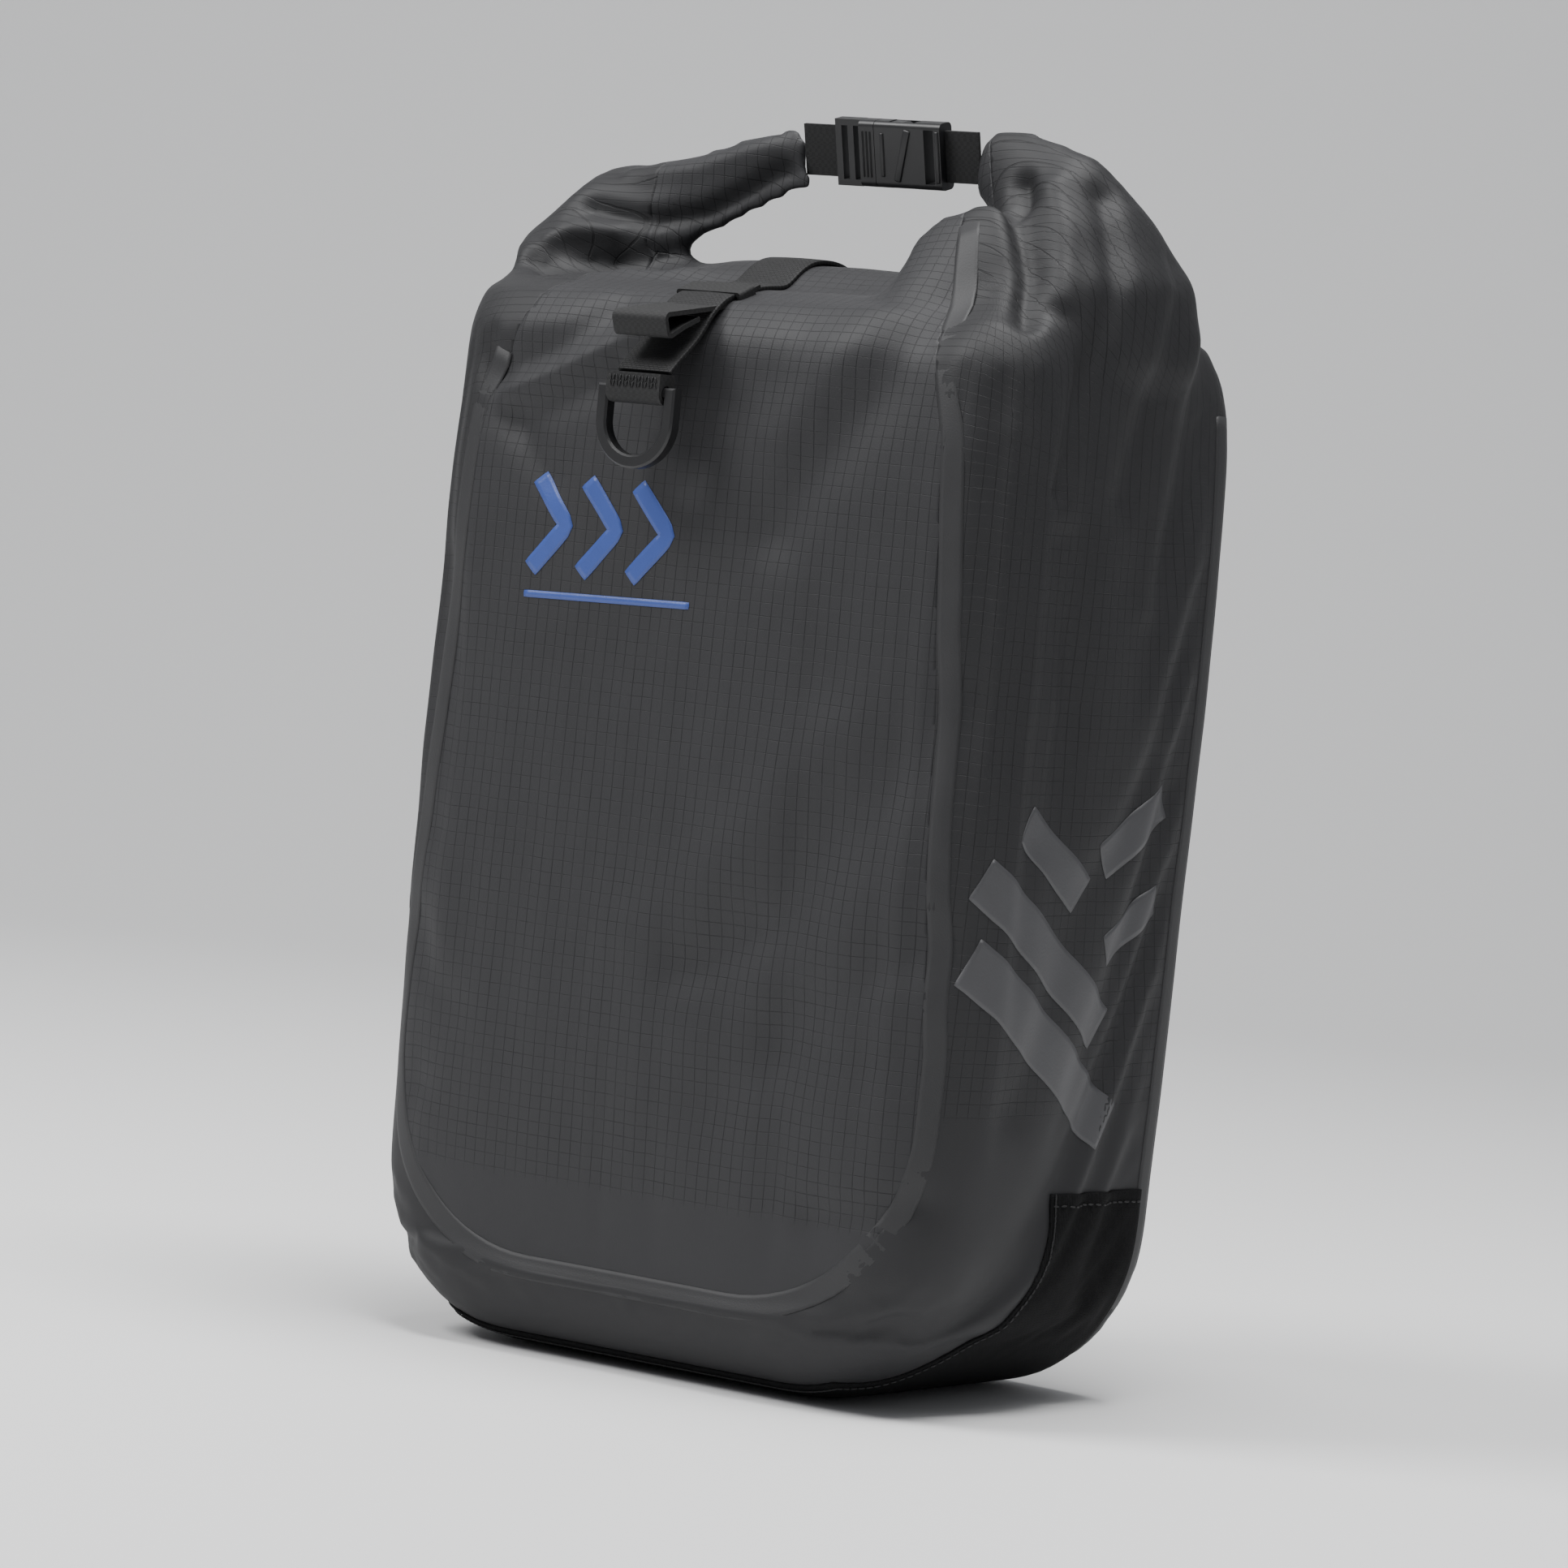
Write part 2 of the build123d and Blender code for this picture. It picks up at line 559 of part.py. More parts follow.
HUB_START = SEAT_Y + SEAT_THICK + GAP
HUB_END = HUB_START + HUB_LENGTH
with BuildPart() as anchor_fin:
    with BuildSketch(Plane((0, HUB_START, LOW_RAIL_Z), z_dir=(0, 1, 0))):
        Circle(HUB_RADIUS)
    extrude(amount=HUB_LENGTH)
    with BuildSketch(Plane.XZ.offset(-HUB_END)):
        with Locations((0, LOW_RAIL_Z - FIN_LENGTH / 2)):
            SlotCenterToCenter(FIN_LENGTH, FIN_WIDTH, rotation=90)
    extrude(amount=FIN_THICK)
    fillet(anchor_fin.faces().sort_by(Axis.Y)[-1].edges(), 1.5)
    with Locations(Plane((0, HUB_END, LOW_RAIL_Z), z_dir=(0, 1, 0))):
        CounterBoreHole(
            SCREW_RADIUS + PIN_CLEARANCE, ANCHOR_HEAD_RADIUS + GAP, ANCHOR_HEAD_THICK + GAP, depth=40
        )
save(anchor_fin.part, "anchor_fin")

HEAD_SEAT = HUB_END - ANCHOR_HEAD_THICK
with BuildPart() as anchor_screw:
    with BuildSketch(Plane((0, CHANNEL_FLOOR + FOOT_CLEARANCE, LOW_RAIL_Z), z_dir=(0, 1, 0))):
        Circle(SCREW_RADIUS)
    extrude(amount=HEAD_SEAT - CHANNEL_FLOOR - FOOT_CLEARANCE)
    with BuildSketch(Plane((0, HEAD_SEAT, LOW_RAIL_Z), z_dir=(0, 1, 0))):
        Circle(ANCHOR_HEAD_RADIUS)
    extrude(amount=ANCHOR_HEAD_THICK)
    with BuildSketch(Plane((0, HUB_END, LOW_RAIL_Z), z_dir=(0, -1, 0))):
        RegularPolygon(SCREW_RADIUS, 6)
    extrude(amount=ANCHOR_HEAD_THICK * 0.7, mode=Mode.SUBTRACT)
save(anchor_screw.part, "anchor_screw")


# ---- Collar: the soft top of the bag, drawn in to the rolled mouth ----
def collar_solid(inset):
    """The collar's outer shape, drawn in by inset."""
    with BuildPart() as solid:
        with BuildSketch(Plane.XY.offset(RIM_Z + GAP)) as rim:
            with Locations((0, (FRONT_Y + BACK_Y) / 2)):
                Rectangle(BODY_WIDTH - 2 * inset, DEPTH - 2 * inset)
            fillet(rim.vertices().group_by(Axis.Y)[0], FRONT_EDGE - inset)
            fillet(rim.vertices().group_by(Axis.Y)[-1], BACK_EDGE)
        with BuildSketch(Plane.XY.offset(COLLAR_Z)) as mouth:
            Rectangle(MOUTH_WIDTH - 2 * inset, MOUTH_DEPTH - 2 * inset)
            fillet(mouth.vertices(), BACK_EDGE)
        loft()
    return solid.part


with BuildPart() as collar:
    add(collar_solid(0))
    add(collar_solid(WALL), mode=Mode.SUBTRACT)


def collar_piece(x_low, x_high, y_low, y_high):
    """The stretch of the collar inside one box."""
    with BuildPart() as piece:
        add(collar.part)
        with Locations((x_low, y_low, RIM_Z)):
            Box(
                x_high - x_low,
                y_high - y_low,
                COLLAR_Z - RIM_Z + 1,
                align=(Align.MIN, Align.MIN, Align.MIN),
                mode=Mode.INTERSECT,
            )
    return piece.part


save(collar_piece(-COLLAR_SPLIT_X, COLLAR_SPLIT_X, FRONT_Y - 1, 0), "collar_front")
save(collar_piece(-COLLAR_SPLIT_X, COLLAR_SPLIT_X, 0, BACK_Y + 1), "collar_back")
save(collar_piece(-BODY_WIDTH, -COLLAR_SPLIT_X, FRONT_Y - 1, BACK_Y + 1), "collar_left")
save(collar_piece(COLLAR_SPLIT_X, BODY_WIDTH, FRONT_Y - 1, BACK_Y + 1), "collar_right")

# ---- Rolled mouth ----
with BuildPart() as roll_centre:
    with Locations((0, 0, ROLL_Z + ROLL_THICK / 2)):
        Box(2 * ROLL_CENTRE_HALF, ROLL_DEPTH, ROLL_THICK)
    fillet(roll_centre.edges().filter_by(Axis.X), ROLL_THICK * 0.4)
    strip_room = [size + 2 * STRIP_CLEARANCE for size in MOUTH_STRIP]
    with Locations((0, 0, ROLL_Z + ROLL_THICK / 2)):
        Box(*strip_room, mode=Mode.SUBTRACT)
save(roll_centre.part, "roll_centre")

with BuildPart() as mouth_strip:
    with Locations((0, 0, ROLL_Z + ROLL_THICK / 2)):
        Box(*MOUTH_STRIP)
    fillet(mouth_strip.edges().filter_by(Axis.Z), 3)
save(mouth_strip.part, "mouth_strip")


def roll_end(points, radius):
    """One end of the roll, from its outline seen from the front."""
    with BuildPart() as piece:
        with BuildSketch(Plane.XZ.offset(-ROLL_DEPTH / 2)) as face:
            with BuildLine():
                Polyline(*points, close=True)
            make_face()
            fillet(face.vertices().filter_by(lambda v: v.Y > ROLL_TOP + 1), radius)
        extrude(amount=ROLL_DEPTH)
    return piece.part


ROLL_START = ROLL_CENTRE_HALF + 0.1
left_end = roll_end(
    [
        (-ROLL_START, ROLL_Z),
        (-146, ROLL_Z),
        (-147, COLLAR_Z + 14),
        (-126, COLLAR_Z + 36),
        (-60, COLLAR_Z + 53),
        (-22, COLLAR_Z + 37),
        (-74, ROLL_TOP + 0.5),
        (-ROLL_START, ROLL_TOP),
    ],
    6,
)
save(left_end, "roll_end_left")

right_end = roll_end(
    [
        (ROLL_START, ROLL_Z),
        (146, ROLL_Z),
        (145, COLLAR_Z + 10),
        (124, COLLAR_Z + 42),
        (96, COLLAR_Z + 60),
        (72, COLLAR_Z + 70),
        (62, COLLAR_Z + 70),
        (60, COLLAR_Z + 48),
        (48, COLLAR_Z + 32),
        (46, ROLL_TOP),
        (ROLL_START, ROLL_TOP),
    ],
    5,
)
save(right_end, "roll_end_right")

# ---- Side-release buckle, drawn flat and then tilted into place ----
# Local frame: X runs from the male half to the female, Y is the thickness, Z the width.
HALF = BUCKLE_WIDTH / 2
CAVITY_HALF = HALF - BUCKLE_WALL
CAVITY_THICK = BUCKLE_THICK - 2 * BUCKLE_WALL
SEATED = Pos(BUCKLE_X, 0, BUCKLE_Z) * Rot(BUCKLE_TILT, 0, 0)

with BuildPart() as buckle_female:
    frame_length = FEMALE_LENGTH + WEB_SLOT + WEB_BAR
    with Locations((frame_length / 2, 0, 0)):
        Box(frame_length, BUCKLE_THICK, BUCKLE_WIDTH)
    fillet(buckle_female.edges().filter_by(Axis.X), 2.4)
    with Locations((0, 0, 0)):
        Box(
            FEMALE_LENGTH - 2 * BUCKLE_WALL,
            CAVITY_THICK,
            2 * CAVITY_HALF,
            align=(Align.MIN, Align.CENTER, Align.CENTER),
            mode=Mode.SUBTRACT,
        )
    with Locations((WINDOW_START, 0, 0)):
        Box(
            WINDOW_LENGTH,
            CAVITY_THICK,
            2 * BUCKLE_WIDTH,
            align=(Align.MIN, Align.CENTER, Align.CENTER),
            mode=Mode.SUBTRACT,
        )
    with Locations((FEMALE_LENGTH, 0, 0)):
        Box(
            WEB_SLOT,
            2 * BUCKLE_THICK,
            WEB_WIDTH + 1,
            align=(Align.MIN, Align.CENTER, Align.CENTER),
            mode=Mode.SUBTRACT,
        )
save(SEATED * buckle_female.part, "buckle_female")

PRONG_OUT = CAVITY_HALF - BUCKLE_CLEARANCE
PRONG_THICK = CAVITY_THICK - 2 * BUCKLE_CLEARANCE
PAD_OUT = HALF - 0.3
with BuildPart() as buckle_male:
    with Locations((-BUCKLE_CLEARANCE, 0, 0)):
        Box(
            BASE_LENGTH,
            BUCKLE_THICK,
            BUCKLE_WIDTH,
            align=(Align.MAX, Align.CENTER, Align.CENTER),
        )
    fillet(buckle_male.edges().filter_by(Axis.X), 2.4)
    with Locations((-BUCKLE_CLEARANCE - BASE_LENGTH, 0, 0)):
        Box(
            LADDER_LENGTH,
            BUCKLE_THICK * 0.6,
            BUCKLE_WIDTH,
            align=(Align.MAX, Align.CENTER, Align.CENTER),
        )
    ladder_slots = (
        -BUCKLE_CLEARANCE - BASE_LENGTH - 2.2,
        -BUCKLE_CLEARANCE - BASE_LENGTH - LADDER_LENGTH + WEB_BAR + 1.3,
    )
    with Locations(*[(x, 0, 0) for x in ladder_slots]):
        Box(2.8, 2 * BUCKLE_THICK, WEB_WIDTH + 1, mode=Mode.SUBTRACT)
    with Locations((-BUCKLE_CLEARANCE - 1, 0, 0)):
        Box(
            PRONG_LENGTH,
            CAVITY_THICK * 0.5,
            TONGUE_WIDTH,
            align=(Align.MIN, Align.CENTER, Align.CENTER),
        )
save(SEATED * buckle_male.part, "buckle_male")


def prong(side):
    """One spring arm of the male half, with the pad that shows in the side window."""
    with BuildPart() as arm:
        with BuildSketch(Plane.XZ.offset(-PRONG_THICK / 2)):
            with BuildLine():
                Polyline(
                    (-BUCKLE_CLEARANCE, side * (PRONG_OUT - 1.5)),
                    (WINDOW_START + BUCKLE_CLEARANCE, side * PRONG_OUT),
                    (WINDOW_START + BUCKLE_CLEARANCE, side * PAD_OUT),
                    (WINDOW_START + 6, side * PAD_OUT),
                    (PRONG_LENGTH, side * (PRONG_OUT - 2.5)),
                    (PRONG_LENGTH, side * (PRONG_OUT - 2.5 - PRONG_WIDTH / 2)),
                    (-BUCKLE_CLEARANCE, side * (PRONG_OUT - 1.5 - PRONG_WIDTH / 2)),
                    close=True,
                )
            make_face()
        extrude(amount=PRONG_THICK)
    return arm.part


save(SEATED * prong(1), "buckle_prong_upper")
save(SEATED * prong(-1), "buckle_prong_lower")


def webbing_strip(x_start, x_end):
    """A flat stretch of the closure's webbing, in the buckle's plane."""
    with BuildPart() as strip:
        with Locations(((x_start + x_end) / 2, 0, 0)):
            Box(x_end - x_start, WEB_THICK, WEB_WIDTH)
    return strip.part


LADDER_END = -BUCKLE_CLEARANCE - BASE_LENGTH - LADDER_LENGTH
save(SEATED * webbing_strip(LADDER_END - 16, LADDER_END - 0.1), "webbing_left")
right_start = FEMALE_LENGTH + WEB_SLOT + WEB_BAR + 0.1
save(SEATED * webbing_strip(right_start, 60 - BUCKLE_X), "webbing_right")

# ---- Strap over the roll, with the keeper, pull loop, ring tab and D-ring ----
STRAP_MID = ROLL_TOP + 0.2 + STRAP_THICK / 2
FRONT_FACE = FRONT_Y - 3.5
LOOP_INNER = RING_BAR_RADIUS + RING_CLEARANCE
RING_Y = FRONT_FACE - LOOP_INNER - STRAP_THICK / 2
TAB_TOP = RING_BAR_Z + TAB_RISE


def ribbon(points, radius):
    """Webbing that follows a path seen from the side, centred on the strap's line."""
    with BuildPart() as piece:
        with BuildSketch(Plane.YZ.offset(STRAP_X - STRAP_WIDTH / 2)):
            with BuildLine() as route:
                FilletPolyline(*points, radius=radius)
            trace(route.edges(), STRAP_THICK)
        extrude(amount=STRAP_WIDTH)
    return piece.part


roll_edge = (-ROLL_DEPTH / 2 - 6, STRAP_MID - 3)
slope_end = (FRONT_FACE + 10, RIM_Z + 12)
slope_angle = degrees(atan2(roll_edge[1] - slope_end[1], roll_edge[0] - slope_end[0]))
top_strap = ribbon(
    [
        (BACK_Y - 8, RIM_Z + 10),
        (ROLL_DEPTH / 2 + 6, STRAP_MID - 3),
        (ROLL_DEPTH / 2 - 2, STRAP_MID),
        (2 - ROLL_DEPTH / 2, STRAP_MID),
        roll_edge,
        slope_end,
        (FRONT_FACE, RIM_Z - 2),
        (FRONT_FACE, TAB_TOP + 0.1),
    ],
    2.5,
)
save(top_strap, "top_strap")

with BuildPart() as strap_keeper:
    Box(STRAP_WIDTH + 5, 10, 2 * STRAP_THICK + 4.2)
    fillet(strap_keeper.edges().filter_by(Axis.Y), 1.5)
    Box(STRAP_WIDTH + 1.5, 12, 2 * STRAP_THICK + 1.2, mode=Mode.SUBTRACT)
keeper_y = (roll_edge[0] + slope_end[0]) / 2
keeper_z = (roll_edge[1] + slope_end[1]) / 2 + STRAP_THICK * 0.6
save(Pos(STRAP_X, keeper_y, keeper_z) * Rot(slope_angle, 0, 0) * strap_keeper.part, "strap_keeper")


def above_slope(along, rise):
    """A point over the strap's slope: so far down it from the roll, and so far above it."""
    turn = radians(slope_angle)
    return (
        roll_edge[0] - along * cos(turn) - rise * sin(turn),
        roll_edge[1] - along * sin(turn) + rise * cos(turn),
    )


pull_loop = ribbon(
    [
        above_slope(20, STRAP_THICK + 0.1),
        above_slope(46, STRAP_THICK + 0.1),
        above_slope(80, 10),
        above_slope(80, 1),
        above_slope(70, STRAP_THICK + 0.1),
        above_slope(60, STRAP_THICK + 0.1),
    ],
    2.0,
)
save(pull_loop, "pull_loop")

with BuildPart() as ring_tab:
    with BuildSketch(Plane.YZ.offset(STRAP_X - STRAP_WIDTH / 2)):
        with Locations((RING_Y, RING_BAR_Z)):
            Circle(LOOP_INNER + STRAP_THICK)
            Rectangle(2 * (LOOP_INNER + STRAP_THICK), TAB_RISE, align=(Align.CENTER, Align.MIN))
            Circle(LOOP_INNER, mode=Mode.SUBTRACT)
    extrude(amount=STRAP_WIDTH)
save(ring_tab.part, "ring_tab")

with BuildPart() as d_ring:
    half_width = RING_WIDTH / 2
    inner_half = half_width - RING_SIDE
    ring_plane = Plane((STRAP_X, RING_Y + RING_THICK / 2, RING_BAR_Z), x_dir=(1, 0, 0), z_dir=(0, -1, 0))
    with BuildSketch(ring_plane):
        with BuildLine():
            top = Line((-half_width, RING_BAR_RADIUS), (half_width, RING_BAR_RADIUS))
            right = Line(top @ 1, (half_width, half_width - RING_DROP))
            bow = ThreePointArc(right @ 1, (0, -RING_DROP), (-half_width, half_width - RING_DROP))
            Line(bow @ 1, top @ 0)
        make_face()
        with BuildLine():
            top = Line((-inner_half, 2 * RING_SIDE), (inner_half, 2 * RING_SIDE))
            right = Line(top @ 1, (inner_half, half_width - RING_DROP))
            bow = ThreePointArc(
                right @ 1, (0, RING_SIDE - RING_DROP), (-inner_half, half_width - RING_DROP)
            )
            Line(bow @ 1, top @ 0)
        make_face(mode=Mode.SUBTRACT)
    extrude(amount=RING_THICK)
    chamfer(d_ring.faces().sort_by(Axis.Y)[0].edges(), 0.8)
    with BuildSketch(Plane.YZ.offset(STRAP_X - inner_half - 1)):
        with Locations((RING_Y, RING_BAR_Z)):
            Circle(RING_BAR_RADIUS)
    extrude(amount=2 * inner_half + 2)
save(d_ring.part, "d_ring")
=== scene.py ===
"""A roll-top bicycle pannier bag, hung up to look at on a pale floor.

Everything is in metres in the bag's own frame: X runs along the bicycle, Y points at the rack
and Z is up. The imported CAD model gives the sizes, the hooks, the rails and the joints, and the
sections below give it its fabric, its roll, its straps and its buckle.
"""

import math

import bmesh
import bpy
from mathutils import Matrix, Vector, noise
from mathutils.bvhtree import BVHTree
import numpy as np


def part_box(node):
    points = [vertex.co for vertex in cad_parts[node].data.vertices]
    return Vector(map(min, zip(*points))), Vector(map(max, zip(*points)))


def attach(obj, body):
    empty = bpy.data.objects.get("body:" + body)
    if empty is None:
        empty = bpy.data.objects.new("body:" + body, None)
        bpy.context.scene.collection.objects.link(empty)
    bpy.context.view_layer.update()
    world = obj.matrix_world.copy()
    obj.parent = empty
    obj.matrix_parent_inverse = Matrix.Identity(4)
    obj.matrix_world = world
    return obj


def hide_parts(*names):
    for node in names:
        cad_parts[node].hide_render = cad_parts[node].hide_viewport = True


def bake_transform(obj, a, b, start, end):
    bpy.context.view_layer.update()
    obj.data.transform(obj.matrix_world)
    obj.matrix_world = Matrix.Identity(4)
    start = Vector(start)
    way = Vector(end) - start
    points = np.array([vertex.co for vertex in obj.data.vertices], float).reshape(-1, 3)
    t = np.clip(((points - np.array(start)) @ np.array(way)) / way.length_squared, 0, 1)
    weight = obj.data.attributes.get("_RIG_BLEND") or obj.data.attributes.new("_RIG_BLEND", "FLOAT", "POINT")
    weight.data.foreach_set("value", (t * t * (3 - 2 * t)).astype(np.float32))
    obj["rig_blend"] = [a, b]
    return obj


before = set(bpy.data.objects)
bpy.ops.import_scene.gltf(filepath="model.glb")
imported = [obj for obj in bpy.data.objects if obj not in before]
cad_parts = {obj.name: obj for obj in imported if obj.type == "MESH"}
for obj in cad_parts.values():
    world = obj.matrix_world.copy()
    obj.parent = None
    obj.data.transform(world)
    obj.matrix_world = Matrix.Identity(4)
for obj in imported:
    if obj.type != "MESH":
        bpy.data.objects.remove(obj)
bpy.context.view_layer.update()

# ---- Camera ----
# A long lens, standing back from the outer face and turned towards the bag's rear side. The
# eye is a little above the middle of the bag, and the bag leans slightly in the picture.
TURN = 35.0
STAND_OFF = 2.4
EYE_HEIGHT = 0.342
PAN = 0.07
LOOK_DOWN = 2.75
LEAN = 5.4
camera_data = bpy.data.cameras.new("view")
camera_data.lens = 142
camera_data.sensor_width = 36
camera = bpy.data.objects.new("view", camera_data)
bpy.context.scene.collection.objects.link(camera)
camera.location = (
    math.sin(math.radians(TURN)) * STAND_OFF,
    -math.cos(math.radians(TURN)) * STAND_OFF,
    EYE_HEIGHT,
)
aim = Matrix.Rotation(math.radians(TURN + PAN), 4, "Z")
aim @= Matrix.Rotation(math.radians(90 - LOOK_DOWN), 4, "X")
aim @= Matrix.Rotation(math.radians(LEAN), 4, "Z")
camera.rotation_euler = aim.to_euler()
bpy.context.scene.camera = camera


# ---- Floor and lights ----
# A matt white sheet that lies flat and curves up behind the bag, lit by one large soft panel
# from the upper left, a weaker one from the right and one overhead.
def new_object(name, bm):
    """A smooth-shaded mesh object made from a bmesh, which is freed."""
    mesh = bpy.data.meshes.new(name)
    bm.to_mesh(mesh)
    bm.free()
    mesh.shade_smooth()
    piece = bpy.data.objects.new(name, mesh)
    bpy.context.scene.collection.objects.link(piece)
    return piece


def node_material(name, roughness, metallic=0.0):
    """A new material, its Principled shader and its nodes and links."""
    material = bpy.data.materials.new(name)
    material.use_nodes = True
    nodes = material.node_tree.nodes
    shader = nodes["Principled BSDF"]
    shader.inputs["Roughness"].default_value = roughness
    shader.inputs["Metallic"].default_value = metallic
    return material, shader, nodes, material.node_tree.links


def add_mix(nodes, links, factor, first, second):
    """A colour that goes from the first to the second with a factor."""
    mix = nodes.new("ShaderNodeMixRGB")
    mix.inputs[1].default_value = (*first, 1)
    mix.inputs[2].default_value = (*second, 1)
    links.new(factor, mix.inputs[0])
    return mix.outputs[0]


bm = bmesh.new()
bmesh.ops.create_grid(bm, x_segments=1, y_segments=1, size=3.0)
back_edge = [e for e in bm.edges if all(v.co.y > 0 for v in e.verts)]
wall = bmesh.ops.extrude_edge_only(bm, edges=back_edge)["geom"]
raised = [v for v in wall if isinstance(v, bmesh.types.BMVert)]
bmesh.ops.translate(bm, verts=raised, vec=(0, 0, 4))
bmesh.ops.bevel(bm, geom=back_edge, offset=1.2, segments=16, affect="EDGES", profile=0.5, material=-1)
floor = new_object("floor", bm)
floor.data.transform(Matrix.Rotation(math.radians(TURN), 4, "Z"))
material, shader, nodes, links = node_material("pale_floor", 0.9)
speck = nodes.new("ShaderNodeTexNoise")
speck.inputs["Scale"].default_value = 3.0
tone = add_mix(nodes, links, speck.outputs["Fac"], (0.82, 0.82, 0.82), (0.86, 0.86, 0.86))
links.new(tone, shader.inputs["Base Color"])
floor.data.materials.append(material)

world = bpy.data.worlds.new("studio")
bpy.context.scene.world = world
world.use_nodes = True
world.node_tree.nodes["Background"].inputs["Color"].default_value = (0.93, 0.95, 1.0, 1)
world.node_tree.nodes["Background"].inputs["Strength"].default_value = 0.24


def soft_panel(name, azimuth, elevation, distance, size, power):
    """A square area light that faces the bag from the given direction."""
    lamp = bpy.data.lights.new(name, "AREA")
    lamp.size = size
    lamp.energy = power
    panel = bpy.data.objects.new(name, lamp)
    bpy.context.scene.collection.objects.link(panel)
    a, e = math.radians(azimuth), math.radians(elevation)
    away = Vector((math.sin(a) * math.cos(e), -math.cos(a) * math.cos(e), math.sin(e)))
    panel.location = Vector((0, 0, 0.25)) + away * distance
    panel.rotation_euler = away.to_track_quat("Z", "Y").to_euler()


soft_panel("key_panel", -40, 48, 2.3, 0.9, 46)
soft_panel("side_panel", 105, 64, 2.5, 0.9, 5)
soft_panel("top_panel", 70, 80, 2.1, 1.1, 62)

# ---- Bag shell ----
# Three welded panels of coated ripstop: a front panel, a gusset that runs down one side, under
# the base and up the other, and a back panel. The filled bag bellies out between its seams. The
# shell is blown up as one cloth, and then parted along its seams and below the roll's left end.
HALF_WIDTH = 0.1395
FRONT = -0.0805
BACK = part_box("back_panel")[1].y
BASE = 0.0016
SHOULDER = 0.340
CORNER = 0.068
FRONT_ROUND = 0.034
BACK_ROUND = 0.007
SEAM_HALF = 0.122
SEAM_LOW = 0.038
SEAM_CORNER = 0.074
FLANGE = 0.011


def ring_tube(bm, stations, sides=28):
    """Skins a closed tube through flattened rings: (centre, wide half-axis, thin half-axis)."""
    start = bmesh.ops.create_circle(bm, cap_ends=True, segments=sides, radius=1.0)["verts"]
    face = start[0].link_faces[0]
    ring = [loop.vert for loop in face.loops]
    flat = [v.co.copy() for v in ring]
    for number, (centre, wide, thin) in enumerate(stations):
        if number:
            base = face
            made = bmesh.ops.extrude_face_region(bm, geom=[face], use_keep_orig=number == 1)["geom"]
            face = [g for g in made if isinstance(g, bmesh.types.BMFace)][0]
            if number > 1:
                bmesh.ops.delete(bm, geom=[base], context="FACES_ONLY")
            ring = [loop.vert for loop in face.loops]
        for v, at in zip(ring, flat):
            v.co = Vector(centre) + Vector(wide) * at.x + Vector(thin) * at.y
    bmesh.ops.recalc_face_normals(bm, faces=bm.faces)


def tube_stations(rows):
    """Rows of (centre, wide axis, wide half, thin half, heading) as ring_tube stations."""
    stations = []
    for centre, wide, half_wide, half_thin, heading in rows:
        wide = Vector(wide).normalized()
        thin = Vector(heading).cross(wide).normalized()
        stations.append((Vector(centre), wide * half_wide, thin * half_thin))
    return stations


def smoothstep(low, high, value):
    t = min(1.0, max(0.0, (value - low) / (high - low)))
    return t * t * (3 - 2 * t)


def foot_share(z):
    """How wide the bag is at a height, as a share of its full width: it narrows to the foot."""
    return 0.962 + 0.038 * smoothstep(0.0, 0.30, z)


# the body, built as a box to the bag's sizes, with its rounded bottom corners and front edge, and the mouth
# drawn together over it into a low roof under the roll
bm = bmesh.new()
bmesh.ops.create_cube(bm, size=1.0)
bmesh.ops.scale(bm, vec=(2 * HALF_WIDTH, BACK - FRONT, SHOULDER - BASE), verts=bm.verts)
bmesh.ops.translate(bm, vec=(0, (BACK + FRONT) / 2, (SHOULDER + BASE) / 2), verts=bm.verts)
roof = [f for f in bm.faces if f.normal.z > 0.9]
bmesh.ops.delete(bm, geom=roof, context="FACES_ONLY")
along_y = [e for e in bm.edges if abs(e.verts[0].co.y - e.verts[1].co.y) > 0.1]
low = [e for e in along_y if all(v.co.z < 0.1 for v in e.verts)]
bmesh.ops.bevel(bm, geom=low, offset=CORNER, segments=14, affect="EDGES", profile=0.5, material=-1)
NEAR = 1e-4
for at, rounding, steps in ((FRONT, FRONT_ROUND, 8), (BACK, BACK_ROUND, 3)):
    edges = [e for e in bm.edges if all(abs(v.co.y - at) < NEAR for v in e.verts)]
    rim = [e for e in edges if not all(v.co.z > SHOULDER - NEAR for v in e.verts)]
    bmesh.ops.bevel(bm, geom=rim, offset=rounding, segments=steps, affect="EDGES", profile=0.5, material=-1)
mouth = [e for e in bm.edges if e.is_boundary]
for rise, left, right, front, back in (
    (0.028, 1.0, 0.995, 0.97, 1.0),
    (0.024, 0.995, 0.98, 0.94, 0.99),
    (0.018, 0.99, 0.955, 0.86, 0.90),
    (0.006, 0.975, 0.92, 0.70, 0.70),
):
    made = bmesh.ops.extrude_edge_only(bm, edges=mouth)["geom"]
    mouth = [g for g in made if isinstance(g, bmesh.types.BMEdge)]
    for v in made:
        if isinstance(v, bmesh.types.BMVert):
            across = v.co.x * (left if v.co.x < 0 else right)
            v.co = (across, v.co.y * (front if v.co.y < 0 else back), v.co.z + rise)
bmesh.ops.contextual_create(bm, geom=mouth)
bmesh.ops.recalc_face_normals(bm, faces=bm.faces)
packed = new_object("packed_body", bm)


def tube_object(name, rows):
    bm = bmesh.new()
    ring_tube(bm, tube_stations(rows))
    return new_object(name, bm)


